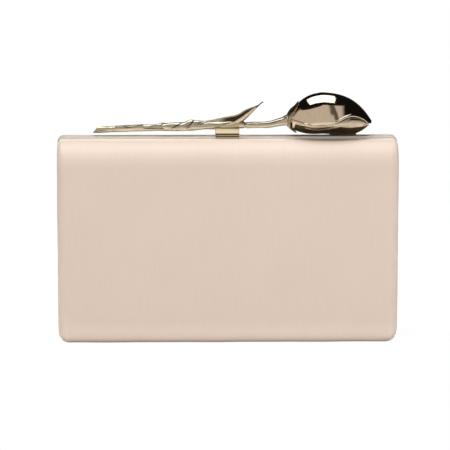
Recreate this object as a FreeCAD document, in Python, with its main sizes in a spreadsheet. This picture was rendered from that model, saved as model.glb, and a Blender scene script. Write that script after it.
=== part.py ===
import FreeCAD, Part
import math
import os
import re
import Sketcher

# A hard box clutch: two satin-covered half trays in thin metal frames, hinged along the bottom,
# and held shut by a sprung clasp that carries a cast tulip lying along the top.
# X runs along the clutch, -Y faces the viewer, Z is up, and the origin is under the middle of the base.

doc = FreeCAD.newDocument("clutch")
sheet = doc.addObject("Spreadsheet::Sheet", "sizes")

driving_sizes = {
    # case, measured over the satin
    "case_width": 190.0,
    "case_height": 114.6,
    "half_depth": 26.0,
    "roll_radius": 16.0,
    "side_radius": 5.5,
    "satin_wall": 0.4,
    "wadding_wall": 0.8,
    "shell_wall": 1.8,
    # metal frames
    "parting_gap": 0.3,
    "band_width": 3.45,
    "frame_rise": 1.4,
    "frame_proud": 0.15,
    "frame_foot": 1.6,
    "frame_corner": 3.2,
    "frame_edge": 0.4,
    "flange_wall": 1.0,
    "flange_clear": 0.4,
    "glue_gap": 0.1,
    # lining and slip pocket
    "lining_wall": 0.8,
    "lining_fold": 0.4,
    "pocket_width": 112.0,
    "pocket_height": 58.0,
    "pocket_low": 22.0,
    "pocket_wall": 0.6,
    "pocket_corner": 8.0,
    "hem_height": 6.0,
    "hem_wall": 0.5,
    # bottom hinges
    "hinge_spread": 60.0,
    "knuckle_radius": 1.5,
    "knuckle_length": 6.0,
    "knuckle_gap": 0.15,
    "knuckle_clear": 0.25,
    "hinge_pin_radius": 0.75,
    "press_fit": 0.02,
    "running_fit": 0.05,
    # clasp
    "clasp_width": 13.3,
    "base_plate": 0.9,
    "base_front": 0.4,
    "ear_wall": 1.2,
    "ear_radius": 1.4,
    "pivot_back": 4.2,
    "pivot_radius": 0.7,
    "side_clear": 0.15,
    "lever_clear": 0.3,
    "lever_thick": 3.0,
    "lever_back": 2.4,
    "lever_knuckle": 1.3,
    "lever_edge": 0.7,
    "lip_gap": 0.15,
    "lip_wall": 1.25,
    "lip_reach": 0.5,
    "lip_lead": 0.5,
    "groove_up": 1.2,
    "groove_width": 0.6,
    "groove_depth": 0.45,
    "screw_radius": 0.6,
    "screw_head": 1.0,
    "screw_head_thick": 0.5,
    "screw_length": 4.0,
    "screw_spread": 3.6,
    "screw_back": 1.6,
    # torsion spring on the clasp pivot
    "wire_radius": 0.2,
    "coil_radius": 1.1,
    "coil_pitch": 0.9,
    "lower_leg": 1.3,
    "upper_leg": 2.4,
    "slot_clear": 0.3,
    "ledge_length": 0.9,
    # tulip
    "stem_radius": 2.1,
    "stem_end_radius": 1.9,
    "stem_left": 75.5,
    "stem_taper": 38.0,
    "stem_right": 30.0,
    "stem_tilt": 1.5,
    "stem_cut": 3.0,
    "saddle_depth": 0.5,
    "leaf_left": 37.0,
    "leaf_right": 21.2,
    "leaf_half_width": 2.7,
    "leaf_root_half": 1.5,
    "leaf_tip_half": 0.35,
    "leaf_wall": 0.9,
    "leaf_rise": 11.6,
    "leaf_seat": 0.3,
    "leaf_roll": 30.0,
    "bulb_left": 36.4,
    "bulb_length": 46.0,
    "bulb_radius": 12.6,
    "bulb_base_radius": 8.2,
    "bulb_base_drop": 4.0,
    "bulb_tip_drop": 5.0,
    "bulb_lift": 1.3,
    "petal_wall": 1.0,
    "petal_gap": 0.25,
    "foot_centre": 65.0,
    "foot_length": 15.0,
    "foot_width": 5.0,
    "foot_clear": 0.3,
}

worked_out_sizes = {
    "case_stack": "satin_wall + wadding_wall + shell_wall",
    "band_face": "parting_gap / 2",
    "rim": "parting_gap / 2 + band_width",
    "frame_top": "case_height + frame_rise",
    "frame_half_width": "case_width / 2 + frame_proud",
    "flange_length": "half_depth - roll_radius - rim - flange_clear",
    "flange_outset": "case_stack + glue_gap",
    "flange_inset": "case_stack + glue_gap + flange_wall",
    "flange_inner_corner": "max(side_radius - flange_inset; flange_wall)",
    "lining_inset": "flange_inset + glue_gap",
    "lining_depth": "half_depth - case_stack - glue_gap",
    "hinge_step": "knuckle_length + knuckle_gap",
    "hinge_length": "3 * knuckle_length + 2 * knuckle_gap",
    "plate_top": "frame_top + base_plate",
    "lever_under": "plate_top + lever_clear",
    "lever_top": "lever_under + lever_thick",
    "pivot_height": "plate_top + lever_knuckle + side_clear",
    "lip_inside": "rim + lip_gap",
    "lever_front": "lip_inside + lip_wall",
    "lip_low": "frame_top - lip_reach",
    "tongue_width": "clasp_width - 2 * ear_wall - 2 * side_clear",
    "coil_turns": "3.5",
    "coil_length": "coil_pitch * coil_turns",
    "slot_width": "coil_length + 2 * wire_radius + 2 * slot_clear",
    "upper_leg_low": "pivot_height + coil_radius - wire_radius",
    "stem_height": "lever_top + stem_radius - saddle_depth",
    "petal_step": "petal_wall + petal_gap",
    "bulb_height": "frame_top + bulb_lift + bulb_radius - petal_step",
}

for column, sizes in (("A", driving_sizes), ("C", worked_out_sizes)):
    for row, (name, rule) in enumerate(sizes.items(), start=1):
        cell = f"{chr(ord(column) + 1)}{row}"
        sheet.set(f"{column}{row}", name)
        sheet.set(cell, str(rule) if column == "A" else f"={rule}")
        sheet.setAlias(cell, name)
doc.recompute()


def value(rule):
    return float(sheet.evalExpression(rule))


def bind(thing, prop, rule):
    words = {*driving_sizes, *worked_out_sizes}
    named = re.sub("[a-z_]+", lambda word: f"sizes.{word[0]}" if word[0] in words else word[0], rule)
    thing.setExpression(prop, named)


def new_body(name):
    body = doc.addObject("PartDesign::Body", name)
    body.Label = name
    return body


def origin_feature(body, role):
    return next(item for item in body.Origin.OriginFeatures if item.Role == role)


def new_sketch(body, role, raised="0"):
    sketch = body.newObject("Sketcher::SketchObject", body.Name + "_sketch")
    sketch.AttachmentSupport = [(origin_feature(body, role), "")]
    sketch.MapMode = "FlatFace"
    bind(sketch, "AttachmentOffset.Base.z", raised)
    return sketch


def constrain(sketch, kind, rule, *place):
    number = sketch.addConstraint(Sketcher.Constraint(kind, *place, value(rule)))
    bind(sketch, f"Constraints[{number}]", rule)


# A closed outline of straight sides, each corner placed by two rules.
def add_outline(sketch, corners):
    first = sketch.GeometryCount
    count = len(corners)
    points = [FreeCAD.Vector(value(across), value(up), 0) for across, up in corners]
    for index in range(count):
        sketch.addGeometry(Part.LineSegment(points[index], points[(index + 1) % count]))
    for index, (across, up) in enumerate(corners):
        following = first + (index + 1) % count
        sketch.addConstraint(Sketcher.Constraint("Coincident", first + index, 2, following, 1))
        constrain(sketch, "DistanceX", across, first + index, 1)
        constrain(sketch, "DistanceY", up, first + index, 1)


def add_circle(sketch, across, up, radius):
    centre = FreeCAD.Vector(value(across), value(up), 0)
    circle = sketch.addGeometry(Part.Circle(centre, FreeCAD.Vector(0, 0, 1), value(radius)))
    constrain(sketch, "DistanceX", across, circle, 3)
    constrain(sketch, "DistanceY", up, circle, 3)
    constrain(sketch, "Radius", radius, circle)


def extrude(body, kind, sketch, length, side="One side", reverse=False):
    before = body.Tip.Shape.Volume if body.Tip else 0.0
    feature = body.newObject("PartDesign::" + kind, f"{body.Name}_{kind.lower()}")
    feature.Profile = sketch
    feature.SideType = side
    feature.Reversed = reverse
    bind(feature, "Length", length)
    doc.recompute()
    if abs(feature.Shape.Volume - before) < 1e-6:
        raise RuntimeError(f"{feature.Name} changes nothing")
    return feature


def pad(body, sketch, length, **how):
    return extrude(body, "Pad", sketch, length, **how)


def pocket(body, sketch, length, **how):
    return extrude(body, "Pocket", sketch, length, **how)


# A round bar or bore along X.
def round_bar(body, kind, radius, across, up, start, length):
    sketch = new_sketch(body, "YZ_Plane", start)
    add_circle(sketch, across, up, radius)
    return extrude(body, kind, sketch, length, reverse=kind == "Pocket")


def dress_edges(body, kind, prop, size, chosen):
    base = body.Tip
    names = [f"Edge{number}" for number, edge in enumerate(base.Shape.Edges, start=1) if chosen(edge)]
    feature = body.newObject("PartDesign::" + kind, f"{body.Name}_{kind.lower()}")
    feature.Base = (base, names)
    bind(feature, prop, size)
    doc.recompute()
    return feature


def round_edges(body, radius, chosen):
    return dress_edges(body, "Fillet", "Radius", radius, chosen)


def near(first, second):
    return abs(first - second) < 1e-4


along_x = FreeCAD.Vector(1, 0, 0)
along_y = FreeCAD.Vector(0, 1, 0)
along_z = FreeCAD.Vector(0, 0, 1)


def straight_along(edge, axis):
    if edge.Curve.TypeId != "Part::GeomLine":
        return False
    run = edge.Vertexes[1].Point - edge.Vertexes[0].Point
    return near(abs(run.normalize().dot(axis)), 1)


# The front half is the rear half turned half round about Z.
def turn_to_front(body):
    body.Placement = FreeCAD.Placement(FreeCAD.Vector(), FreeCAD.Rotation(along_z, 180))


# One tray: a profile with rolled top and bottom, padded along X, rounded at both ends and hollowed.
def make_tray(name, inset, wall, depth, rim, corner):
    body = new_body(name)
    sketch = new_sketch(body, "YZ_Plane")
    top = f"case_height - ({inset})"
    add_outline(sketch, [(rim, inset), (depth, inset), (depth, top), (rim, top)])
    pad(body, sketch, f"case_width - 2 * ({inset})", side="Symmetric")
    face = value(depth)
    mouth = value(rim)
    end = value(f"case_width / 2 - ({inset})")
    round_edges(body, f"roll_radius - ({inset})",
                lambda edge: straight_along(edge, along_x) and near(edge.CenterOfMass.y, face))
    round_edges(body, corner,
                lambda edge: near(abs(edge.CenterOfMass.x), end) and edge.BoundBox.YMax > mouth + 0.01)
    solid = body.Tip
    open_side = [f"Face{number}" for number, side in enumerate(solid.Shape.Faces, start=1)
                 if near(side.BoundBox.YMax, mouth)]
    hollow = body.newObject("PartDesign::Thickness", name + "_hollow")
    hollow.Base = (solid, open_side)
    hollow.Reversed = True
    bind(hollow, "Value", wall)
    doc.recompute()
    return body


def make_case_half(side):
    return [
        make_tray(side + "_satin_cover", "0", "satin_wall", "half_depth", "rim", "side_radius"),
        make_tray(side + "_wadding", "satin_wall", "wadding_wall", "half_depth - satin_wall", "rim",
                  "side_radius - satin_wall"),
        make_tray(side + "_shell", "satin_wall + wadding_wall", "shell_wall",
                  "half_depth - satin_wall - wadding_wall", "rim",
                  "side_radius - satin_wall - wadding_wall"),
        make_tray(side + "_lining", "lining_inset", "lining_wall", "lining_depth", "rim + glue_gap",
                  "max(side_radius - lining_inset; lining_wall + lining_fold)"),
    ]


def ring_corners(half_width, low, high):
    return [(f"-({half_width})", low), (half_width, low), (half_width, high), (f"-({half_width})", high)]


# One frame: a band round the mouth with a flange that goes inside the tray.
def make_frame(name):
    body = new_body(name)
    inner = ring_corners("case_width / 2 - flange_inset", "flange_inset", "case_height - flange_inset")
    outer = ring_corners("case_width / 2 - flange_outset", "flange_outset", "case_height - flange_outset")
    band = new_sketch(body, "XZ_Plane", "-band_face")
    add_outline(band, ring_corners("frame_half_width", "frame_foot", "frame_top"))
    add_outline(band, inner)
    pad(body, band, "band_width", reverse=True)
    flange = new_sketch(body, "XZ_Plane", "-rim")
    add_outline(flange, outer)
    add_outline(flange, inner)
    pad(body, flange, "flange_length", reverse=True)
    corners = (("flange_inner_corner", "case_width / 2 - flange_inset"),
               ("flange_inner_corner + flange_wall", "case_width / 2 - flange_outset"),
               ("frame_corner", "frame_half_width"))
    for radius, side in corners:
        place = value(side)
        round_edges(body, radius,
                    lambda edge: straight_along(edge, along_y) and near(abs(edge.CenterOfMass.x), place))
    low = value("frame_foot")
    high = value("frame_top")
    wide = value("frame_half_width")
    faces = (value("band_face"), value("rim"))

    def on_outer_edge(edge):
        box = edge.BoundBox
        flat = any(near(box.YMin, face) and near(box.YMax, face) for face in faces)
        return flat and (near(box.ZMin, low) or near(box.ZMax, high) or near(max(box.XMax, -box.XMin), wide))

    round_edges(body, "frame_edge", on_outer_edge)
    return body


# Knuckles at the given steps from each hinge's middle, with room for the other frame's knuckles.
def add_knuckles(body, own_steps, other_steps, bore):
    for hinge in ("-hinge_spread", "hinge_spread"):
        for step in other_steps:
            start = f"{hinge} + ({step}) * hinge_step - knuckle_length / 2 - knuckle_gap"
            round_bar(body, "Pocket", "knuckle_radius + knuckle_clear", "0", "frame_foot", start,
                      "knuckle_length + 2 * knuckle_gap")
        for step in own_steps:
            start = f"{hinge} + ({step}) * hinge_step - knuckle_length / 2"
            round_bar(body, "Pad", "knuckle_radius", "0", "frame_foot", start, "knuckle_length")
        round_bar(body, "Pocket", bore, "0", "frame_foot", f"{hinge} - hinge_length / 2", "hinge_length")


def make_hinge_pin(name, hinge):
    body = new_body(name)
    round_bar(body, "Pad", "hinge_pin_radius", "0", "frame_foot", f"{hinge} - hinge_length / 2", "hinge_length")
    return body


screw_places = ("-screw_spread", "screw_spread")


def bore_for_screws(body, radius, from_height, depth):
    sketch = new_sketch(body, "XY_Plane", from_height)
    for across in screw_places:
        add_circle(sketch, across, "screw_back", radius)
    pocket(body, sketch, depth)


def make_slip_pocket(name):
    body = new_body(name)
    back = "lining_depth - lining_wall"
    panel = new_sketch(body, "XZ_Plane", f"-({back})")
    add_outline(panel, ring_corners("pocket_width / 2", "pocket_low", "pocket_low + pocket_height"))
    pad(body, panel, "pocket_wall")
    low = value("pocket_low")
    round_edges(body, "pocket_corner",
                lambda edge: straight_along(edge, along_y) and near(edge.CenterOfMass.z, low))
    hem = new_sketch(body, "XZ_Plane", f"-({back} - pocket_wall)")
    top = "pocket_low + pocket_height"
    add_outline(hem, ring_corners("pocket_width / 2", f"{top} - hem_height", top))
    pad(body, hem, "hem_wall")
    return body


def make_clasp_base(name):
    body = new_body(name)
    plate = new_sketch(body, "XY_Plane", "frame_top")
    add_outline(plate, ring_corners("clasp_width / 2", "base_front", "pivot_back + ear_radius"))
    pad(body, plate, "base_plate")
    for start in ("-clasp_width / 2", "clasp_width / 2 - ear_wall"):
        ear = new_sketch(body, "YZ_Plane", start)
        front = "pivot_back - ear_radius"
        back = "pivot_back + ear_radius"
        add_outline(ear, [(front, "frame_top"), (back, "frame_top"),
                          (back, "pivot_height"), (front, "pivot_height")])
        pad(body, ear, "ear_wall")
        round_bar(body, "Pad", "ear_radius", "pivot_back", "pivot_height", start, "ear_wall")
    round_bar(body, "Pocket", "pivot_radius + press_fit", "pivot_back", "pivot_height",
              "-clasp_width / 2", "clasp_width")
    bore_for_screws(body, "screw_head + running_fit", "plate_top", "screw_head_thick")
    bore_for_screws(body, "screw_radius + running_fit", "plate_top", "base_plate")
    return body


def make_pivot_pin(name):
    body = new_body(name)
    round_bar(body, "Pad", "pivot_radius", "pivot_back", "pivot_height", "-clasp_width / 2", "clasp_width")
    return body


def make_screws(name):
    screws = []
    for across in screw_places:
        head = doc.addObject("Part::Cylinder", "screw_head")
        shank = doc.addObject("Part::Cylinder", "screw_shank")
        for piece, radius, height, low in (
            (head, "screw_head", "screw_head_thick", "plate_top - screw_head_thick"),
            (shank, "screw_radius", "screw_length", "plate_top - screw_head_thick - screw_length"),
        ):
            bind(piece, "Radius", radius)
            bind(piece, "Height", height)
            bind(piece, "Placement.Base.x", across)
            bind(piece, "Placement.Base.y", "screw_back")
            bind(piece, "Placement.Base.z", low)
        screw = doc.addObject("Part::Fuse", "clasp_screw")
        screw.Base = head
        screw.Tool = shank
        screws.append(screw)
    group = doc.addObject("Part::Compound", name)
    group.Label = name
    group.Links = screws
    return group


# The lever: a block over both frames with a lip in front of the front frame and a tongue on the pivot.
def make_lever(name):
    body = new_body(name)
    block = new_sketch(body, "YZ_Plane")
    add_outline(block, [("-lever_front", "lip_low"), ("-lip_inside", "lip_low"),
                        ("-lip_inside", "lever_under"), ("lever_back", "lever_under"),
                        ("lever_back", "lever_top"), ("-lever_front", "lever_top")])
    pad(body, block, "clasp_width", side="Symmetric")
    inside = value("-lip_inside")
    front = value("-lever_front")
    low = value("lip_low")
    dress_edges(body, "Chamfer", "Size", "lip_lead",
                lambda edge: straight_along(edge, along_x) and near(edge.CenterOfMass.y, inside)
                and near(edge.CenterOfMass.z, low))
    round_edges(body, "lever_edge", lambda edge: near(edge.CenterOfMass.y, front))
    groove = new_sketch(body, "YZ_Plane")
    groove_low = "frame_top + groove_up"
    bottom = "groove_depth - lever_front"
    add_outline(groove, [("-lever_front", groove_low), (bottom, groove_low),
                         (bottom, f"{groove_low} + groove_width"),
                         ("-lever_front", f"{groove_low} + groove_width")])
    pocket(body, groove, "clasp_width", side="Symmetric")
    tongue = new_sketch(body, "YZ_Plane")
    top = "pivot_height + lever_knuckle"
    add_outline(tongue, [("0", "lever_under"), ("pivot_back", "lever_under"), ("pivot_back", top), ("0", top)])
    pad(body, tongue, "tongue_width", side="Symmetric")
    round_bar(body, "Pad", "lever_knuckle", "pivot_back", "pivot_height", "-tongue_width / 2", "tongue_width")
    round_bar(body, "Pocket", "pivot_radius + running_fit", "pivot_back", "pivot_height",
              "-tongue_width / 2", "tongue_width")
    slot = new_sketch(body, "XY_Plane", "lever_top")
    add_outline(slot, ring_corners("slot_width / 2", "lever_back", "pivot_back + 2 * lever_knuckle"))
    pocket(body, slot, "lever_thick + 2 * lever_knuckle")
    ledge = new_sketch(body, "XY_Plane", "lever_top")
    add_outline(ledge, ring_corners("slot_width / 2", "lever_back - ledge_length", "lever_back"))
    pocket(body, ledge, "lever_top - upper_leg_low + press_fit")
    saddle = new_sketch(body, "YZ_Plane")
    saddle.AttachmentOffset = FreeCAD.Placement(FreeCAD.Vector(), FreeCAD.Rotation(along_x, -1))
    bind(saddle, "AttachmentOffset.Base.y", "stem_height")
    bind(saddle, "AttachmentOffset.Rotation.Angle", "-stem_tilt")
    add_circle(saddle, "0", "0", "stem_radius + press_fit")
    pocket(body, saddle, "2 * clasp_width", side="Symmetric")
    return body


# The stem is turned about its own axis, cut off slantwise at the left and then tilted into place.
def make_stem(name):
    body = new_body(name)
    profile = new_sketch(body, "XZ_Plane")
    add_outline(profile, [("-stem_left", "0"), ("-stem_left", "stem_end_radius"), ("-stem_taper", "stem_radius"),
                          ("stem_right", "stem_radius"), ("stem_right", "0")])
    turned = body.newObject("PartDesign::Revolution", name + "_revolution")
    turned.Profile = profile
    turned.ReferenceAxis = (origin_feature(body, "X_Axis"), [""])
    turned.Angle = 360
    doc.recompute()
    slant = new_sketch(body, "XZ_Plane")
    past = "-stem_left - stem_cut"
    add_outline(slant, [(past, "-stem_radius"), ("-stem_left", "-stem_radius"),
                        ("stem_cut - stem_left", "stem_radius"), (past, "stem_radius")])
    pocket(body, slant, "4 * stem_radius", side="Symmetric")
    body.Placement = FreeCAD.Placement(FreeCAD.Vector(), FreeCAD.Rotation(along_y, -1))
    bind(body, "Placement.Base.z", "stem_height")
    bind(body, "Placement.Rotation.Angle", "-stem_tilt")
    doc.recompute()
    return body


def new_solid(name, shape):
    feature = doc.addObject("Part::Feature", name)
    feature.Label = name
    feature.Shape = shape
    return feature


def stem_point(along):
    tilt = math.radians(value("stem_tilt"))
    return FreeCAD.Vector(along * math.cos(tilt), 0, value("stem_height") + along * math.sin(tilt))


# A thin curved strip across a petal or leaf, from one angle to another about its centre.
def strip(centre, aside, upward, radius, inner_radius, first, last):
    def at(angle, distance):
        turn = math.radians(angle)
        return centre + (aside * math.sin(turn) + upward * math.cos(turn)) * distance

    middle = (first + last) / 2
    sides = [
        Part.Arc(at(first, radius), at(middle, radius), at(last, radius)),
        Part.LineSegment(at(last, radius), at(last, inner_radius)),
        Part.Arc(at(last, inner_radius), at(middle, inner_radius), at(first, inner_radius)),
        Part.LineSegment(at(first, inner_radius), at(first, radius)),
    ]
    return Part.Wire([side.toShape() for side in sides])


def smooth(share):
    held = min(max(share, 0.0), 1.0)
    return held * held * (3 - 2 * held)


# The flower lies along X. It is widest a little nearer its base, and its middle line arches upward.
widest_share = 0.37
tip_closing_power = 3.5


def bulb_section(share):
    radius = value("bulb_radius")
    if share < widest_share:
        run = (widest_share - share) / widest_share
        size = radius - (radius - value("bulb_base_radius")) * run**2
        drop = value("bulb_base_drop") * run**2
    else:
        run = (share - widest_share) / (1 - widest_share)
        size = radius * (1 - run**tip_closing_power)
        drop = value("bulb_tip_drop") * run**1.6
    centre = FreeCAD.Vector(value("bulb_left") + value("bulb_length") * share, 0, value("bulb_height") - drop)
    return centre, size


# Petal edges, in degrees round the flower from straight up towards the viewer.
def upper_petal_edges(share):
    return -35 + 65 * share**3, 134 - 42 * smooth((share - 0.45) / 0.32)


petal_overlap = 12


def lower_petal_edges(share):
    return upper_petal_edges(share)[1] - petal_overlap, 232 - 40 * share**3


def rear_petal_edges(share):
    return 238 - 30 * share**3, 360 + upper_petal_edges(share)[0] + petal_overlap


thinnest_share = 0.55


def make_petal(name, edges, layer, tip_share, count=9):
    wires = []
    for number in range(count):
        share = tip_share * smooth_run(number / (count - 1))
        centre, radius = bulb_section(share)
        outer = radius - layer * value("petal_step")
        inner = max(outer - value("petal_wall"), outer * thinnest_share)
        first, last = edges(share)
        wires.append(strip(centre, -along_y, along_z, outer, inner, first, last))
    return new_solid(name, Part.makeLoft(wires, True, False))


# Sections stand closer together towards the tip, where the flower closes quickly.
def smooth_run(share):
    return 1 - (1 - share) ** 1.5


def bulb_solid(layer, tip_share, count=9):
    wires = []
    for number in range(count):
        centre, radius = bulb_section(tip_share * smooth_run(number / (count - 1)))
        wires.append(Part.Wire(Part.makeCircle(radius - layer * value("petal_step"), centre, along_x)))
    return Part.makeLoft(wires, True, False)


def make_flower_base(name):
    tilt = math.radians(value("stem_tilt"))
    start = stem_point(value("stem_right"))
    end, radius = bulb_section(0)
    radius -= value("petal_step")
    end.x -= value("petal_gap")
    middle = start * 0.45 + end * 0.55 - along_z * value("petal_wall")
    neck = value("stem_radius")
    circles = [
        Part.makeCircle(neck, start, FreeCAD.Vector(math.cos(tilt), 0, math.sin(tilt))),
        Part.makeCircle((neck + radius) / 2 - value("petal_wall"), middle, along_x),
        Part.makeCircle(radius, end, along_x),
    ]
    return new_solid(name, Part.makeLoft([Part.Wire(circle) for circle in circles], True, False))


def make_foot(name, bulb):
    centre, radius = bulb_section((value("foot_centre") - value("bulb_left")) / value("bulb_length"))
    low = FreeCAD.Vector(value("foot_centre"), 0, value("frame_top + foot_clear"))
    oval = Part.Ellipse(low, value("foot_length") / 2, value("foot_width") / 2).toShape()
    block = Part.Face(Part.Wire(oval)).extrude(along_z * (centre.z - low.z))
    return new_solid(name, block.cut(bulb))


# The leaf is a trough that lies along the stem and then bends up and away to its point.
leaf_bend_share = 0.74
leaf_bend_power = 1.45


def leaf_keel(share):
    left = value("leaf_left")
    along = -left + (left + value("leaf_right")) * share
    bend = max(share - leaf_bend_share, 0) / (1 - leaf_bend_share)
    lift = value("stem_radius - leaf_seat") + value("leaf_rise") * bend**leaf_bend_power
    return stem_point(along) + along_z * lift


def leaf_half(share):
    swell = value("leaf_half_width") * math.sin(math.pi * share**2.5)
    return swell + value("leaf_root_half") * (1 - share) + value("leaf_tip_half") * share


trough_half_angle = 80


def make_leaf(name, stem, count=12):
    wires = []
    aside = FreeCAD.Rotation(along_x, value("leaf_roll")).multVec(along_y)
    look = 0.01
    for number in range(count):
        share = number / (count - 1)
        ahead = leaf_keel(share + look) - leaf_keel(share - look)
        upward = ahead.cross(aside).normalize()
        radius = leaf_half(share) / math.sin(math.radians(trough_half_angle))
        inner = max(radius - value("leaf_wall"), radius * thinnest_share)
        centre = leaf_keel(share) + upward * radius
        wires.append(strip(centre, aside, -upward, radius, inner, -trough_half_angle, trough_half_angle))
    return new_solid(name, Part.makeLoft(wires, True, False).cut(stem.Shape))


# Two tangent arcs from one point and direction to the next.
def biarc(start, start_way, end, end_way):
    span = end - start
    both = start_way + end_way
    spread = 2 * (1 - start_way.dot(end_way))
    reach = (math.sqrt(span.dot(both) ** 2 + spread * span.dot(span)) - span.dot(both)) / spread
    joint = (start + start_way * reach + end - end_way * reach) * 0.5
    return [tangent_arc(start, start + start_way * reach, joint),
            tangent_arc(joint, end - end_way * reach, end)]


def tangent_arc(start, corner, end):
    middle = (start + end) * 0.5
    half = (end - start).Length / 2
    rise = corner - middle
    bend = math.atan2(rise.Length, half)
    return Part.Arc(start, middle + rise.normalize() * half * math.tan(bend / 2), end).toShape()


def make_spring(name):
    radius = value("coil_radius")
    turns = value("coil_turns")
    rise = value("coil_pitch") / (2 * math.pi)
    hub = FreeCAD.Vector(-value("coil_length") / 2, value("pivot_back"), value("pivot_height"))

    def place(angle):
        swing = angle - math.pi / 2
        return hub + FreeCAD.Vector(rise * angle, radius * math.cos(swing), radius * math.sin(swing))

    def way(angle):
        swing = angle - math.pi / 2
        return FreeCAD.Vector(rise, -radius * math.sin(swing), radius * math.cos(swing)).normalize()

    last = 2 * math.pi * turns
    quarters = round(4 * turns)
    angles = [last * number / quarters for number in range(quarters + 1)]
    start = place(0) - way(0) * value("lower_leg")
    end = place(last) + way(last) * value("upper_leg")
    edges = [Part.LineSegment(start, place(0)).toShape()]
    for first, second in zip(angles, angles[1:]):
        edges += biarc(place(first), way(first), place(second), way(second))
    edges.append(Part.LineSegment(place(last), end).toShape())
    wire = value("wire_radius")
    section = Part.Wire(Part.makeCircle(wire, start, way(0)))
    path = Part.Wire(edges)
    tube = path.makePipeShell([section], True, False)
    print("spring volume against section times length:", tube.Volume / (math.pi * wire**2 * path.Length))
    fine = [place(last * number / 400) for number in range(401)]
    least = min((fine[one] - fine[two]).Length for one in range(401) for two in range(one + 80, 401))
    print("spring gap to itself, mm:", round(least - 2 * wire, 3))
    return new_solid(name, tube)


rear_half = make_case_half("rear")
front_half = make_case_half("front")

rear_frame = make_frame("rear_frame")
add_knuckles(rear_frame, (-1, 1), (0,), "hinge_pin_radius + press_fit")
bore_for_screws(rear_frame, "screw_radius + press_fit", "frame_top", "screw_length")
front_frame = make_frame("front_frame")
add_knuckles(front_frame, (0,), (-1, 1), "hinge_pin_radius + running_fit")
for body in [*front_half, front_frame]:
    turn_to_front(body)

stem = make_stem("tulip_stem")
sub_parts = [
    *rear_half,
    rear_frame,
    make_slip_pocket("slip_pocket"),
    make_hinge_pin("hinge_pin_left", "-hinge_spread"),
    make_hinge_pin("hinge_pin_right", "hinge_spread"),
    make_clasp_base("clasp_base"),
    make_screws("clasp_base_screws"),
    make_pivot_pin("clasp_pivot_pin"),
    make_spring("clasp_spring"),
    *front_half,
    front_frame,
    make_lever("clasp_lever"),
    stem,
    make_leaf("tulip_leaf", stem),
    make_flower_base("flower_base"),
    make_petal("petal_upper", upper_petal_edges, 0, 0.985),
    make_petal("petal_lower", lower_petal_edges, 1, 0.93),
    make_petal("petal_rear", rear_petal_edges, 1, 0.93),
    new_solid("flower_core", bulb_solid(2, 0.9)),
    make_foot("flower_foot", bulb_solid(1, 0.93)),
]
doc.recompute()

for thing in doc.Objects:
    if {"Invalid", "Error"} & set(thing.State):
        raise RuntimeError(f"{thing.Label} failed: {thing.State}")
for piece in sub_parts:
    if piece.Shape.isNull() or not piece.Shape.isValid():
        raise RuntimeError(f"{piece.Label} has no valid shape")

os.makedirs("parts", exist_ok=True)
for piece in sub_parts:
    piece.Shape.exportStep(f"parts/{piece.Label}.step")
    box = piece.Shape.BoundBox
    print(f"{piece.Label}: {len(piece.Shape.Solids)} solid, {piece.Shape.Volume:.1f} mm3,"
          f" {box.XLength:.1f} x {box.YLength:.1f} x {box.ZLength:.1f} mm")
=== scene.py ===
import math

import bmesh
import bpy
import numpy as np
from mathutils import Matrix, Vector


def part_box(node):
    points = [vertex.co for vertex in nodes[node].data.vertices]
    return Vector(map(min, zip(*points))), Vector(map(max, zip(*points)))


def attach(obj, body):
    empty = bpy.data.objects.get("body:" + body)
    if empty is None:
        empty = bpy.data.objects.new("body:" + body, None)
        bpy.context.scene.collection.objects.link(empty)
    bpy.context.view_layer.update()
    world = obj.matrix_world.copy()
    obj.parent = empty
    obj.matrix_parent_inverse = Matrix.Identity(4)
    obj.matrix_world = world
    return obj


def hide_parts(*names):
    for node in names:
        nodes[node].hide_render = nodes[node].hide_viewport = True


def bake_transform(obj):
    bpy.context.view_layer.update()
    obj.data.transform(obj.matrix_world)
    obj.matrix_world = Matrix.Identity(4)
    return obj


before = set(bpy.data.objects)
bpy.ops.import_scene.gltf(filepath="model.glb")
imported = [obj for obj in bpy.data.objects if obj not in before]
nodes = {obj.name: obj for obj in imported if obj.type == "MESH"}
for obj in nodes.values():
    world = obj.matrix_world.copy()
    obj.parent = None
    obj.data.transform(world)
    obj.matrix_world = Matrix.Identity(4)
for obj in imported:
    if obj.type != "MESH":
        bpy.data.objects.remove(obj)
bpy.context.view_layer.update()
mm = 0.001
quarterTurn = math.pi / 2
fullTurn = 2 * math.pi
print("frame loaded:", len(nodes), "nodes")


# A node's lowest and highest corner in millimetres.
def boxOf(node):
    low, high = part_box(node)
    return np.array(low) / mm, np.array(high) / mm


# Camera: above the clutch and a touch to its left, as far off as a long lens stands.
shot = {
    "distance": 1.541,
    "elevation": 9.58,
    "azimuth": -1.04,
    "target": (-0.00148, -0.012, 0.06702),
    "lens": 220.0,
    "clipStart": 0.05,
}


def setCamera():
    data = bpy.data.cameras.new("shot")
    data.lens = shot["lens"]
    data.clip_start = shot["clipStart"]
    camera = bpy.data.objects.new("shot", data)
    bpy.context.scene.collection.objects.link(camera)
    up = math.radians(shot["elevation"])
    aside = math.radians(shot["azimuth"])
    back = Vector((math.sin(aside) * math.cos(up), -math.cos(aside) * math.cos(up), math.sin(up)))
    camera.location = Vector(shot["target"]) + back * shot["distance"]
    camera.rotation_mode = "QUATERNION"
    camera.rotation_quaternion = (-back).to_track_quat("-Z", "Y")
    bpy.context.scene.camera = camera


setCamera()
bpy.context.scene.view_settings.view_transform = "Standard"


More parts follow.
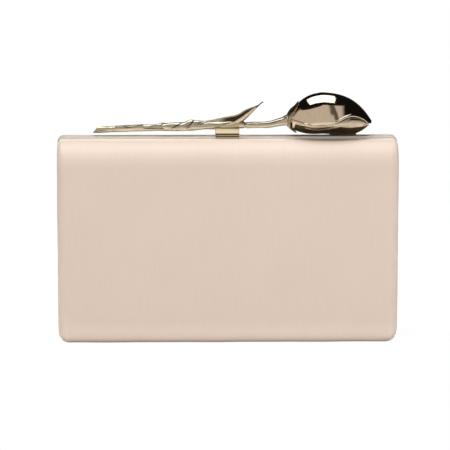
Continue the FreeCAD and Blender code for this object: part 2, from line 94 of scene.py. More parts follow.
# A socket with arithmetic: each operator adds a Math node.
class Wire:
    def __init__(self, maker, socket):
        self.maker = maker
        self.socket = socket

    def math(self, operation, *others):
        values = dict(enumerate((self, *others)))
        return self.maker.node("ShaderNodeMath", {"operation": operation}, values)

    def __add__(self, other):
        return self.math("ADD", other)

    def __sub__(self, other):
        return self.math("SUBTRACT", other)

    def __rsub__(self, other):
        return self.maker.node("ShaderNodeMath", {"operation": "SUBTRACT"}, {0: other, 1: self})

    def __mul__(self, other):
        return self.math("MULTIPLY", other)

    __radd__ = __add__
    __rmul__ = __mul__

    def wave(self, length):
        return (self * (fullTurn / length)).math("SINE")

    def larger(self, other):
        return self.math("MAXIMUM", other)

    # 0 up to low, 1 from high on, smooth between; low may be above high
    def between(self, low, high):
        return self.maker.node("ShaderNodeMapRange", {"interpolation_type": "SMOOTHSTEP"},
                               {"Value": self, "From Min": low, "From Max": high})


# Fills one node tree. node() takes a type, settings, then socket values or links; a colour is three numbers.
class Maker:
    def __init__(self, tree):
        self.tree = tree
        tree.nodes.clear()

    def node(self, kind, settings=None, sockets=None, out=0):
        made = self.tree.nodes.new(kind)
        for name, setting in (settings or {}).items():
            setattr(made, name, setting)
        for name, given in (sockets or {}).items():
            socket = made.inputs[name]
            if isinstance(given, Wire):
                self.tree.links.new(given.socket, socket)
            else:
                socket.default_value = (*given, 1.0) if socket.type == "RGBA" else given
        return Wire(self, made.outputs[out]) if made.outputs else made

    def noise(self, place, scale, detail=2.0):
        return self.node("ShaderNodeTexNoise", None, {"Vector": place, "Scale": scale, "Detail": detail})

    # noise drawn out by a scale of its own for each axis
    def grain(self, place, scales, detail=2.0):
        stretched = self.node("ShaderNodeMapping", None, {"Vector": place, "Scale": scales})
        return self.noise(stretched, 1.0, detail)

    def split(self, place):
        parted = self.node("ShaderNodeSeparateXYZ", None, {0: place}).socket.node
        return [Wire(self, socket) for socket in parted.outputs]

    def mixed(self, share, first, second):
        return self.node("ShaderNodeMix", {"data_type": "RGBA"}, {0: share, 6: first, 7: second}, out=2)

    def bump(self, height, strength, distance):
        inputs = {"Height": height, "Strength": strength, "Distance": distance}
        return self.node("ShaderNodeBump", None, inputs)

    def objectPlace(self):
        return self.node("ShaderNodeTexCoord", out=3)

    def clothPlace(self):
        return self.node("ShaderNodeUVMap", {"uv_map": "cloth"})


# A material whose shader takes the given socket values, some of them wires from its own nodes.
def newMaterial(name, paint):
    material = bpy.data.materials.new(name)
    material.use_nodes = True
    maker = Maker(material.node_tree)
    shader = maker.node("ShaderNodeBsdfPrincipled", None, paint(maker))
    maker.node("ShaderNodeOutputMaterial", None, {"Surface": shader})
    return material


# In each look, rough is the least roughness and what the named patterns add to it, and bump is a strength and
# a depth.
satinLook = {
    "colour": (0.80, 0.665, 0.568),
    "shade": (0.778, 0.638, 0.540),
    "shading": (0.7, 0.6, 0.35, 0.95),      # how far slubs and cloud shade it, and between what sums
    "thread": 0.3 * mm,
    "floatLength": 2.4 * mm,
    "floatStep": 0.4,                       # how far the next thread's floats are set on
    "slub": (900.0, 60.0, 1.0),
    "cloud": 28.0,
    "weave": (0.35, 0.2, 0.3),              # heights of ribs, floats and slubs
    "paintedHighlight": (0.95, 0.845, 0.75),           # painted highlight: paler along the top next to the frame, lifting the frame's shade
    "paintedHighlightReach": (13.0 * mm, 6.0 * mm),
    "paintedHighlightHeights": (111.0 * mm, 114.0 * mm),
    "rough": (0.44, 0.06),
    "specular": 0.45,
    "sheen": 0.18,
    "sheenRough": 0.35,
    "sheenTint": (1.0, 0.93, 0.88),
    "bump": (0.12, 0.05 * mm),
}


# Satin: fine warp ribs, staggered floats over them, slubs drawn out along the warp, and a soft bloom; a
# painted highlight pales it along the top next to the frame.
def satinPaint(maker):
    place = maker.clothPlace()
    across, along, _ = maker.split(place)
    step = satinLook["floatStep"] * fullTurn / satinLook["thread"]
    ribs = across.wave(satinLook["thread"])
    floats = (along * (fullTurn / satinLook["floatLength"]) + across * step).math("SINE")
    slubs = maker.grain(place, satinLook["slub"], 3.0)
    cloud = maker.noise(place, satinLook["cloud"])
    ribHigh, floatHigh, slubHigh = satinLook["weave"]
    slubShade, cloudShade, least, most = satinLook["shading"]
    shaded = (slubs * slubShade + cloud * cloudShade).between(least, most)
    woven = maker.mixed(shaded, satinLook["colour"], satinLook["shade"])
    _, fromParting, up = maker.split(maker.objectPlace())
    # painted highlight: paler satin along the top next to the frame, where the frame shades it
    nearFrame = fromParting.math("ABSOLUTE").between(*satinLook["paintedHighlightReach"])
    paintedHighlight = nearFrame * up.between(*satinLook["paintedHighlightHeights"])
    least, bySlubs = satinLook["rough"]
    return {
        "Base Color": maker.mixed(paintedHighlight, woven, satinLook["paintedHighlight"]),
        "Roughness": slubs * bySlubs + least,
        "Specular IOR Level": satinLook["specular"],
        "Sheen Weight": satinLook["sheen"],
        "Sheen Roughness": satinLook["sheenRough"],
        "Sheen Tint": satinLook["sheenTint"],
        "Normal": maker.bump(ribs * ribHigh + floats * floatHigh + slubs * slubHigh, *satinLook["bump"]),
    }


liningLook = {
    "colour": (0.70, 0.575, 0.47),
    "shade": (0.60, 0.475, 0.375),
    "lighting": (0.35, 0.35),       # how far the weave lightens it, and from where
    "twill": 0.55 * mm,
    "weftRate": 2.3,                # weft threads to one of the twill's
    "wear": 60.0,
    "weave": (0.5, 0.2, 0.6),       # heights of twill, weft and wear
    "rough": (0.55, 0.15),
    "specular": 0.3,
    "sheen": 0.25,
    "sheenRough": 0.5,
    "bump": (0.35, 0.12 * mm),
}


# Lining: a fine diagonal twill with a dull lustre.
def liningPaint(maker):
    place = maker.clothPlace()
    across, along, _ = maker.split(place)
    twill = (across + along).wave(liningLook["twill"])
    weft = (along * (liningLook["weftRate"] * (fullTurn / liningLook["twill"]))).math("SINE")
    wear = maker.noise(place, liningLook["wear"], 3.0)
    twillHigh, weftHigh, wearHigh = liningLook["weave"]
    height = twill * twillHigh + weft * weftHigh + wear * wearHigh
    rate, start = liningLook["lighting"]
    least, byWear = liningLook["rough"]
    return {
        "Base Color": maker.mixed((height * rate + start).between(0.0, 1.0), liningLook["shade"],
                                  liningLook["colour"]),
        "Roughness": wear * byWear + least,
        "Specular IOR Level": liningLook["specular"],
        "Sheen Weight": liningLook["sheen"],
        "Sheen Roughness": liningLook["sheenRough"],
        "Normal": maker.bump(height, *liningLook["bump"]),
    }


threadLook = {
    "colour": (0.66, 0.53, 0.43),
    "shade": (0.5, 0.39, 0.31),
    "mottle": 1500.0,
    "rough": (0.5, 0.2),
    "sheen": 0.2,
    "bump": (0.3, 0.05 * mm),
}


# Sewing thread, mottled light and dark.
def threadPaint(maker):
    mottle = maker.noise(maker.objectPlace(), threadLook["mottle"], 1.0)
    least, byMottle = threadLook["rough"]
    return {
        "Base Color": maker.mixed(mottle, threadLook["shade"], threadLook["colour"]),
        "Roughness": mottle * byMottle + least,
        "Sheen Weight": threadLook["sheen"],
        "Normal": maker.bump(mottle, *threadLook["bump"]),
    }


goldLook = {
    "colour": (0.91, 0.775, 0.605),
    "dull": (0.85, 0.705, 0.53),
    "dulling": (0.45, 0.8),
    "wave": 150.0,                      # faint waves left by the polishing wheel
    "smear": 420.0,
    "hair": (300.0, 9000.0, 5200.0),
    "hairShows": (0.58, 0.75),
    "hairDepth": 0.01,
    "rough": (0.03, 0.07, 0.05),
    "bump": (0.25, 0.35 * mm),
}


# Polished casting: a mirror with faint waves, smears and hairline scratches. Gives the smears too.
def polish(maker):
    place = maker.objectPlace()
    waves = maker.noise(place, goldLook["wave"], 1.0)
    smears = maker.noise(place, goldLook["smear"], 3.0)
    hairs = maker.grain(place, goldLook["hair"]).between(*goldLook["hairShows"])
    least, bySmears, byHairs = goldLook["rough"]
    return smears, {
        "Metallic": 1.0,
        "Roughness": smears * bySmears + hairs * byHairs + least,
        "Normal": maker.bump(waves + hairs * goldLook["hairDepth"], *goldLook["bump"]),
    }


# The flower's gold, dulled by the smears.
def goldPaint(maker):
    smears, paint = polish(maker)
    dulled = smears.between(*goldLook["dulling"])
    paint["Base Color"] = maker.mixed(dulled, goldLook["colour"], goldLook["dull"])
    return paint


stemLook = {
    "colour": (0.71, 0.652, 0.507),
    "grooveDarkAndPaintedShade": (0.085, 0.062, 0.032),
    "shadeAndGrooveDepths": (0.35, 0.45, 1.1),      # the grain's share, and between what depths the marked grooves and painted shade darken it
    "smear": 500.0,
    "grain": (160.0, 1400.0, 1400.0),
    "rough": (0.15, 0.1, 0.25),
    "bump": (0.3, 0.25 * mm),
}


# The stem's gold, darker in grooves and on the cut end, with painted shade and painted dark reflections.
def stemGoldPaint(maker):
    place = maker.objectPlace()
    # the mark: darker grooves and cut end, painted shade and painted dark reflections
    grooveDarkAndPaintedShade = maker.node("ShaderNodeAttribute", {"attribute_name": "grooveDarkAndPaintedShade"}, out=2)
    smears = maker.noise(place, stemLook["smear"], 3.0)
    grain = maker.grain(place, stemLook["grain"], 3.0)
    byGrain, shallow, deep = stemLook["shadeAndGrooveDepths"]
    depth = (grooveDarkAndPaintedShade + grain * byGrain).between(shallow, deep)
    least, bySmears, byDepth = stemLook["rough"]
    return {
        "Base Color": maker.mixed(depth, stemLook["colour"], stemLook["grooveDarkAndPaintedShade"]),
        "Metallic": 1.0,
        "Roughness": smears * bySmears + depth * byDepth + least,
        "Normal": maker.bump(grain, *stemLook["bump"]),
    }


leverLook = {
    "groove": (1.2, 2.35),      # its lower and upper edge above the lever's foot
    "soft": 0.15,
    "front": 0.7,               # how far back its front reaches
    "paintedDarkBand": (1.3, 0.9),         # heights between which painted shade darkens it towards the foot
    "paintedStemShadow": (4.0, 4.4),         # and, less, a painted shadow under the stem
    "paintedStemShadowShare": 0.45,
    "colour": (1.0, 0.87, 0.61),
    "dark": (0.115, 0.073, 0.028),
    "metallic": 0.3,
}


# The lever's gold, polished as the rest, with painted shade in the groove along its front and towards its
# foot, and a lighter painted shadow under the stem.
def leverPaint(maker):
    _, paint = polish(maker)
    _, y, z = maker.split(maker.objectPlace())
    corner = boxOf("clasp_lever")[0]
    heights = {name: [(corner[2] + height) * mm for height in leverLook[name]]
               for name in ("groove", "paintedDarkBand", "paintedStemShadow")}
    back = (corner[1] + leverLook["front"]) * mm
    soft = leverLook["soft"] * mm
    front = y.between(back + 2 * soft, back)
    low, high = heights["groove"]
    # painted shade in the groove and towards the foot, and a painted shadow under the stem
    groove = z.between(low, low + soft) * z.between(high, high - soft) * front
    foot = z.between(*heights["paintedDarkBand"]) * front
    paintedStemShadow = z.between(*heights["paintedStemShadow"]) * front
    dark = groove.larger(foot).larger(paintedStemShadow * leverLook["paintedStemShadowShare"])
    paint["Base Color"] = maker.mixed(dark, leverLook["colour"], leverLook["dark"])
    paint["Metallic"] = leverLook["metallic"]
    return paint


frameLook = {
    "colour": (0.76, 0.72, 0.635),
    "dull": (0.715, 0.675, 0.59),
    "dulling": (0.4, 0.75),
    "bend": (0.32, 0.27, 0.205),
    "bendFrom": (93.0, 94.2),                       # how far out the painted dark reflection in its upper corners sets in
    "bendHeights": (109.5, 111.5, 114.0, 114.8),    # and where it comes and goes in height
    "brush": (120.0, 5000.0, 5000.0),
    "rub": 70.0,
    "metallic": 0.35,
    "rough": (0.3, 0.08, 0.08),
    "bump": (0.03, 0.04 * mm),
}


# Frame metal: pale gold plate, finely brushed, duller where fingers rub it, with a painted dark reflection in
# its upper corners.
def framePaint(maker):
    place = maker.objectPlace()
    x, _, z = maker.split(place)
    near, far = (reach * mm for reach in frameLook["bendFrom"])
    low, comes, goes, high = (height * mm for height in frameLook["bendHeights"])
    # painted dark reflection in the frame's upper corners
    bend = x.math("ABSOLUTE").between(near, far) * z.between(low, comes) * z.between(high, goes)
    brushed = maker.grain(place, frameLook["brush"])
    rubbed = maker.noise(place, frameLook["rub"], 3.0)
    plate = maker.mixed(rubbed.between(*frameLook["dulling"]), frameLook["colour"], frameLook["dull"])
    least, byBrush, byRub = frameLook["rough"]
    return {
        "Base Color": maker.mixed(bend, plate, frameLook["bend"]),
        "Metallic": frameLook["metallic"],
        "Roughness": brushed * byBrush + rubbed * byRub + least,
        "Normal": maker.bump(brushed, *frameLook["bump"]),
    }


steelLook = {
    "colour": (0.62, 0.60, 0.57),
    "dull": (0.42, 0.40, 0.37),
    "dulling": (0.45, 0.8),
    "turning": (7000.0, 900.0, 900.0),
    "tarnish": 600.0,
    "rough": (0.15, 0.15, 0.15),
    "bump": (0.15, 0.04 * mm),
}


# Nickelled steel: turned finish with a little tarnish.
def steelPaint(maker):
    place = maker.objectPlace()
    turned = maker.grain(place, steelLook["turning"])
    tarnish = maker.noise(place, steelLook["tarnish"], 3.0)
    least, byTurning, byTarnish = steelLook["rough"]
    return {
        "Base Color": maker.mixed(tarnish.between(*steelLook["dulling"]), steelLook["colour"],
                                  steelLook["dull"]),
        "Metallic": 1.0,
        "Roughness": turned * byTurning + tarnish * byTarnish + least,
        "Normal": maker.bump(turned, *steelLook["bump"]),
    }


shellLook = {
    "colour": (0.62, 0.57, 0.51),
    "shade": (0.53, 0.48, 0.42),
    "grain": 2600.0,
    "flow": 40.0,
    "rough": (0.45, 0.2),
    "bump": (0.25, 0.05 * mm),
}


# Moulded shell: eggshell plastic with a fine spark-eroded grain.
def shellPaint(maker):
    place = maker.objectPlace()
    grain = maker.noise(place, shellLook["grain"])
    flow = maker.noise(place, shellLook["flow"])
    least, byGrain = shellLook["rough"]
    return {
        "Base Color": maker.mixed(flow, shellLook["shade"], shellLook["colour"]),
        "Roughness": grain * byGrain + least,
        "Normal": maker.bump(grain, *shellLook["bump"]),
    }


bumperLook = {
    "colour": (0.06, 0.052, 0.045),
    "dust": (0.13, 0.115, 0.10),
    "dusting": (0.5, 0.8),
    "speck": 900.0,
    "rough": (0.5, 0.25),
    "bump": (0.2, 0.06 * mm),
}


# Soft rubber foot, a little dusty.
def bumperPaint(maker):
    dust = maker.noise(maker.objectPlace(), bumperLook["speck"], 4.0)
    least, byDust = bumperLook["rough"]
    return {
        "Base Color": maker.mixed(dust.between(*bumperLook["dusting"]), bumperLook["colour"],
                                  bumperLook["dust"]),
        "Roughness": dust * byDust + least,
        "Normal": maker.bump(dust, *bumperLook["bump"]),
    }


satin = newMaterial("blushSatin", satinPaint)
lining = newMaterial("liningTwill", liningPaint)
thread = newMaterial("sewingThread", threadPaint)
gold = newMaterial("polishedGold", goldPaint)
stemGold = newMaterial("paintedShadeGold", stemGoldPaint)
leverGold = newMaterial("leverGold", leverPaint)
frameMetal = newMaterial("brushedFrame", framePaint)
steel = newMaterial("nickelSteel", steelPaint)
shell = newMaterial("mouldedShell", shellPaint)
bumper = newMaterial("rubberFoot", bumperPaint)
print("materials made:", len(bpy.data.materials))


# 0 at low, 1 at high, with level ends; low may be above high.
def smoothStep(x, low=0.0, high=1.0):
    share = np.clip((x - low) / (high - low), 0.0, 1.0)
    return share * share * (3 - 2 * share)


# Quads over a grid of points numbered row by row; a closed grid joins its last column to its first.
def gridFaces(rows, columns, closed=False):
    starts = np.arange(columns if closed else columns - 1)
    row, column = np.meshgrid(np.arange(rows - 1), starts, indexing="ij")
    following = (column + 1) % columns
    corners = [row * columns + column, (row + 1) * columns + column,
               (row + 1) * columns + following, row * columns + following]
    return np.stack(corners, -1).reshape(-1, 4)


# Faces of a closed strip whose loop runs across one skin and back across the other, with its two ends.
def stripFaces(rows, columns):
    there = np.arange(columns // 2 - 1)
    back = columns - 1 - there
    first = np.stack([there, there + 1, back - 1, back], -1)
    last = first[:, ::-1] + (rows - 1) * columns
    return np.concatenate([gridFaces(rows, columns, closed=True), first, last])


weldWithin = 0.002 * mm


# Makes a mesh from points in millimetres, welds what meets, turns its faces outward and seats it on its body.
# Faces that meet at more than sharp degrees keep a crisp edge.
def makePiece(name, points, faces, material, body, cloth=None, grooveDarkAndPaintedShade=None, sharp=50.0):
    mesh = bpy.data.meshes.new(name)
    mesh.from_pydata(points.reshape(-1, 3) * mm, [], faces)
    if cloth is not None:
        layer = mesh.uv_layers.new(name="cloth")
        corner = np.zeros(len(mesh.loops), np.int32)
        mesh.loops.foreach_get("vertex_index", corner)
        layer.data.foreach_set("uv", (cloth.reshape(-1, 2) * mm)[corner].astype(np.float32).ravel())
    if grooveDarkAndPaintedShade is not None:
        mark = mesh.attributes.new("grooveDarkAndPaintedShade", "FLOAT", "POINT")
        mark.data.foreach_set("value", grooveDarkAndPaintedShade.astype(np.float32).ravel())
    work = bmesh.new()
    work.from_mesh(mesh)
    bmesh.ops.remove_doubles(work, verts=work.verts, dist=weldWithin)
    bmesh.ops.dissolve_degenerate(work, edges=work.edges, dist=weldWithin)
    bmesh.ops.recalc_face_normals(work, faces=work.faces)
    work.to_mesh(mesh)
    work.free()
    mesh.shade_smooth()
    mesh.set_sharp_from_angle(angle=math.radians(sharp))
    mesh.materials.append(material)
    piece = bpy.data.objects.new(name, mesh)
    bpy.context.scene.collection.objects.link(piece)
    if body:
        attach(piece, body)
    return piece


def thicken(piece, thickness, offset):
    wall = piece.modifiers.new("wall", "SOLIDIFY")
    wall.thickness = thickness * mm
    wall.offset = offset


def runningLength(points):
    steps = np.linalg.norm(np.diff(points, axis=0), axis=-1)
    return np.concatenate([[0.0], np.cumsum(steps)])


# A tray's skin with its mouth open. Across it runs the profile: bottom, lower roll, face, upper roll, top.
# Along it the skin comes up one end, turns round the end's edge by a quarter circle, runs straight and does
# the same at the other end. y is measured outward from the parting of the two halves.
def traySkin(size, counts):
    roll = size["roll"]
    flat = size["face"] - roll
    turn = np.linspace(-quarterTurn, 0, counts["roll"])
    floor = np.linspace(size["mouth"], flat, counts["flat"], endpoint=False)
    level = np.ones(len(floor))
    wall = np.linspace(size["low"] + roll, size["high"] - roll, counts["face"] + 2)[1:-1]
    lowArc = size["low"] + roll + roll * np.sin(turn)
    highArc = size["high"] - roll - roll * np.sin(turn)
    y = np.concatenate([floor, flat + roll * np.cos(turn), np.full(len(wall), size["face"]),
                        flat + roll * np.cos(turn[::-1]), floor[::-1]])
    z = np.concatenate([level * size["low"], lowArc, wall, highArc[::-1], level * size["high"]])
    lean = np.concatenate([level * -quarterTurn, turn, np.zeros(len(wall)), -turn[::-1], level * quarterTurn])
    edge = (size["edge"] + (size["topEdge"] - size["edge"]) * smoothStep(lean, 0, quarterTurn)
            + (size["lowEdge"] - size["edge"]) * smoothStep(-lean, 0, quarterTurn))
    yIn = y - np.cos(lean) * edge
    zIn = z - np.sin(lean) * edge
    share = runningLength(np.stack([yIn, zIn], -1))
    zMouth = zIn[0] + (zIn[-1] - zIn[0]) * share / share[-1]

    ends = np.linspace(1, 0, counts["end"], endpoint=False)
    upright = np.full(len(ends), quarterTurn)
    bend = np.linspace(quarterTurn, 0, counts["edge"])
    run = np.linspace(-1, 1, counts["run"])[1:-1]
    oneEnd = np.ones(len(ends) + len(bend))
    side = np.concatenate([-oneEnd, run, oneEnd])
    bends = np.concatenate([upright, bend, np.zeros(len(run)), bend[::-1], upright])
    toMouth = np.concatenate([ends, np.zeros(len(bend) * 2 + len(run)), ends[::-1]])
    over = np.where(np.isclose(bends, quarterTurn), 0.0, np.cos(bends))
    out = np.sin(bends) * side

    # from here on the profile runs down the grid and the rest across it
    edge, lean, yIn, zIn, zMouth = (values[:, None] for values in (edge, lean, yIn, zIn, zMouth))
    x = side * (size["halfWidth"] - edge) + out * edge
    yGrid = yIn + np.cos(lean) * edge * over + (size["mouth"] - yIn) * toMouth
    zGrid = zIn + np.sin(lean) * edge * over + (zMouth - zIn) * toMouth
    points = np.stack(np.broadcast_arrays(x, yGrid, zGrid), -1)
    normals = np.stack(np.broadcast_arrays(out, np.cos(lean) * over, np.sin(lean) * over), -1)
    rows, columns = x.shape
    along = runningLength(points[rows // 2])
    up = runningLength(points[:, columns // 2])
    cloth = np.stack(np.meshgrid(along, up), -1)
    return points, normals, cloth


# The points round a tray's mouth, in order.
def mouthRing(grid, endCount):
    return np.concatenate([grid[0, endCount:-endCount], grid[1:-1, -1],
                           grid[-1, endCount:-endCount][::-1], grid[1:-1, 0][::-1]])


# The turned-in edge round a tray's mouth: each rim point is carried round a quarter circle and then inward.
def turnedEdge(points, normals, cloth, size, counts):
    rim, outward, place = (mouthRing(grid, counts["end"]) for grid in (points, normals, cloth))
    outward = outward * [1, 0, 1]
    outward /= np.linalg.norm(outward, axis=1, keepdims=True)
    radius = size["rimRoll"]
    curl = np.linspace(0, quarterTurn, counts["rim"])
    inset = np.append(radius * (1 - np.cos(curl)), radius + size["tuck"])[:, None, None]
    toMouth = np.append(radius * np.sin(curl), radius)[:, None, None]
    rows = rim - outward * inset - np.array([0, 1, 0]) * toMouth
    return rows, place + np.zeros((len(inset), 1, 2))


# How far slack cloth stands off its tray: slow waves across times waves up, with slanting waves over them,
# all dying out at the mouth.
def slackness(size, points):
    x, y, z = np.moveaxis(points, -1, 0)
    (wideRate, wideStart), (highRate, highStart) = size["waves"]
    share, slantWide, slantHigh, slantStart = size["slant"]
    crossing = np.sin(wideRate * x + wideStart) * np.sin(highRate * z + highStart)
    slanting = share * np.sin(slantWide * x + slantHigh * z + slantStart)
    rising = smoothStep(y, size["mouth"], size["mouth"] + size["settle"])
    return size["ripple"] * (crossing + slanting) * rising


# Both halves of the case are the same tray, the front one turned half round about the upright axis.
turnOf = {"rear": np.array([1, 1, 1]), "front": np.array([-1, -1, 1])}


# In satinSize and liningSize, waves gives the slackness's rate and start across and up, and slant gives the
# share, rates and start of the waves that slant.
satinSize = {
    "roll": 16.0,
    "edge": 5.5,        # end edge down the face
    "topEdge": 2.3,     # tighter where the satin is drawn up to the frame
    "lowEdge": 6.0,
    "rimRoll": 0.5,     # how the satin rolls in at the mouth
    "seat": 0.05,
    "tuck": 0.5,
    "crown": 0.35,      # the wadding's swell in the middle of the face
    "ripple": 0.05,     # slackness over the wadding
    "waves": ((0.11, 0.6), (0.13, 1.1)),
    "slant": (0.6, 0.21, 0.09, 0.0),
    "settle": 4.0,
    "pucker": 0.07,     # gathers where the cloth turns in round the corners
    "puckerReach": 2.5,
    "puckerRate": 22,
    "thickness": 0.4,
    "flat": (0.252, 0.178),
    "area": 0.0372,
}
satinCounts = {"flat": 8, "roll": 22, "face": 44, "end": 12, "edge": 12, "run": 110, "rim": 6}


# Satin drawn over wadding: the tray skin, swollen along its normals by the crown, which falls off by a fourth
# power, and by slackness, with gathers round the mouth's corners.
def makeSatin(side):
    low, high = boxOf("rear_satin_cover")
    size = dict(satinSize, halfWidth=high[0], low=low[2], high=high[2], face=high[1],
                mouth=low[1] + satinSize["rimRoll"] + satinSize["seat"])
    points, normals, cloth = traySkin(size, satinCounts)
    x, y, z = np.moveaxis(points, -1, 0)
    right, facing, upward = np.moveaxis(normals, -1, 0)
    middle = (size["low"] + size["high"]) / 2
    upShare = (z - middle) / (size["high"] - middle)
    swell = (size["crown"] * np.clip(facing, 0, 1) ** 2 * (1 - (x / size["halfWidth"]) ** 4)
             * (1 - upShare**4))
    nearMouth = np.exp(-(y - size["mouth"]) / size["puckerReach"])
    folds = np.sin(size["puckerRate"] * np.arctan2(upward, np.abs(right)))
    gathers = size["pucker"] * nearMouth * np.abs(right * upward) * folds
    points = points + normals * (swell + slackness(size, points) + gathers)[..., None]
    rows, places = turnedEdge(points, normals, cloth, size, satinCounts)
    faces = np.concatenate([gridFaces(*points.shape[:2]),
                            gridFaces(*rows.shape[:2], closed=True) + points[..., 0].size])
    allPoints = np.concatenate([points.reshape(-1, 3), rows.reshape(-1, 3)]) * turnOf[side]
    allCloth = np.concatenate([cloth.reshape(-1, 2), places.reshape(-1, 2)])
    piece = makePiece(side + "Satin", allPoints, faces, satin, side + "_half", cloth=allCloth)
    thicken(piece, size["thickness"], -1)
    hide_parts(side + "_satin_cover", side + "_wadding")


liningSize = {
    "roll": 11.0,
    "edge": 2.2,
    "topEdge": 2.2,
    "lowEdge": 2.2,
    "inset": 0.8,       # how far inside its solid's outer faces the skin lies
    "seat": 0.05,
    "ripple": 0.06,
    "waves": ((0.17, 0.0), (0.19, 0.4)),
    "slant": (0.7, 0.31, 0.27, 1.7),
    "settle": 5.0,
    "thickness": 0.5,
    "flat": (0.234, 0.158),
    "area": 0.0335,
}
liningCounts = {"flat": 6, "roll": 16, "face": 36, "end": 10, "edge": 8, "run": 90}


# Lining pasted into the tray: the skin of the hollow, with slight slackness, thickened outward.
def makeLining(side):
    low, high = boxOf("rear_lining")
    inset = liningSize["inset"]
    size = dict(liningSize, halfWidth=high[0] - inset, low=low[2] + inset, high=high[2] - inset,
                face=high[1] - inset, mouth=low[1] + liningSize["seat"])
    points, normals, cloth = traySkin(size, liningCounts)
    points = (points + normals * slackness(size, points)[..., None]) * turnOf[side]
    piece = makePiece(side + "Lining", points, gridFaces(*points.shape[:2]), lining, side + "_half",
                      cloth=cloth)
    thicken(piece, size["thickness"], 1)
    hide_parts(side + "_lining")


for half in ("rear", "front"):
    makeSatin(half)
    makeLining(half)
print("covers and linings made")


pocketSize = {
    "corner": 8.0,
    "hem": 6.0,
    "hemFold": 0.21,            # radius of the fold along the hem's top
    "hemWall": 0.25,
    "stand": 0.1,               # how far off the lining the panel is sewn
    "slack": 0.35,
    "slackPower": 1.5,
    "gather": 0.12,
    "gatherRates": (0.42, 0.17),
    "gatherStart": 0.8,
    "thickness": 0.4,
    "seam": 1.6,
    "stitch": 2.2,
    "stitchHalf": 0.36,         # half a stitch's length, as a share of the step from one to the next
    "stitchBlunt": 1.02,
    "stitchProud": 0.22,
    "stitchAhead": 0.5,         # a stitch points to where the seam is this far on
    "threadRadius": 0.16,
    "hemRow": (3.0, 0.55, 0.9),    # the row under the hem: in from the sides, proud, above the hem's edge
    "flat": (0.112, 0.07),
}
pocketCounts = {"up": 46, "across": 90, "hem": 8, "fold": 9, "stitch": 6}


# Slip pocket: a panel sewn down at its sides and foot, standing a little off the lining towards its mouth,
# with a folded hem. Its foot corners are rounded by drawing the rows in.
def makePocket():
    low, high = boxOf("slip_pocket")
    up = np.linspace(0, 1, pocketCounts["up"])[:, None]
    across = np.linspace(-1, 1, pocketCounts["across"])[None, :]
    z = low[2] + (high[2] - low[2]) * up
    fromFoot = np.clip(1 - (z - low[2]) / pocketSize["corner"], 0, 1)
    x = across * (high[0] - pocketSize["corner"] * (1 - np.sqrt(1 - fromFoot**2)))
    loose = (1 - across**2) * up ** pocketSize["slackPower"]
    quick, slow = pocketSize["gatherRates"]
    gathers = pocketSize["gather"] * np.sin(quick * x + pocketSize["gatherStart"]) * np.sin(slow * x) * up**3
    y = high[1] - pocketSize["stand"] - pocketSize["slack"] * loose - gathers * (1 - across**4)
    panel = np.stack(np.broadcast_arrays(x, y, z), -1)
    piece = makePiece("slipPocket", panel, gridFaces(*panel.shape[:2]), lining, "rear_half",
                      cloth=panel[..., [0, 2]])
    thicken(piece, pocketSize["thickness"], 0)
    strip = makeHem(panel[-1])
    stitches = makeStitches(panel, low, high)
    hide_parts("slip_pocket")


# Hem: a strip up the panel's face to its top edge, then over it by half a circle.
def makeHem(top):
    radius = pocketSize["hemFold"]
    rows = pocketCounts["hem"]
    fold = np.linspace(-quarterTurn, quarterTurn, pocketCounts["fold"])
    down = np.concatenate([np.linspace(pocketSize["hem"], 0, rows), 0 * fold])[:, None]
    out = np.concatenate([np.full(rows, 2 * radius), radius - radius * np.sin(fold)])[:, None]
    up = np.concatenate([np.zeros(rows), radius * np.cos(fold)])[:, None]
    hem = np.stack(np.broadcast_arrays(top[:, 0], top[:, 1] - out, top[:, 2] - down + up), -1)
    strip = makePiece("pocketHem", hem, gridFaces(*hem.shape[:2]), lining, "rear_half",
                      cloth=hem[..., [0, 2]])
    thicken(strip, pocketSize["hemWall"], 0)
    return strip


# A row of stitches: each is a small spindle of thread, half sunk, along the seam's running direction.
def stitchRow(centres, along):
    count = pocketCounts["stitch"]
    across = np.array([0.0, 1.0, 0.0])
    third = np.cross(along, across)
    lengthwise = np.linspace(-1, 1, count)[None, :, None, None]
    turn = np.linspace(0, fullTurn, count, endpoint=False)[None, None, :, None]
    thick = pocketSize["threadRadius"] * np.sqrt(np.clip(pocketSize["stitchBlunt"] - lengthwise**2, 0, None))
    half = pocketSize["stitch"] * pocketSize["stitchHalf"]
    body = (centres[:, None, None, :] + along[:, None, None, :] * lengthwise * half
            + (across * np.cos(turn) + third[:, None, None, :] * np.sin(turn)) * thick)
    firsts = count**2 * np.arange(len(centres))[:, None]
    sides = (gridFaces(count, count, closed=True)[None] + firsts[..., None]).reshape(-1, 4)
    ends = np.arange(count)[None, :] + firsts
    lastEnds = ends[:, ::-1] + count * (count - 1)
    return body.reshape(-1, 3), sides.tolist() + ends.tolist() + lastEnds.tolist()


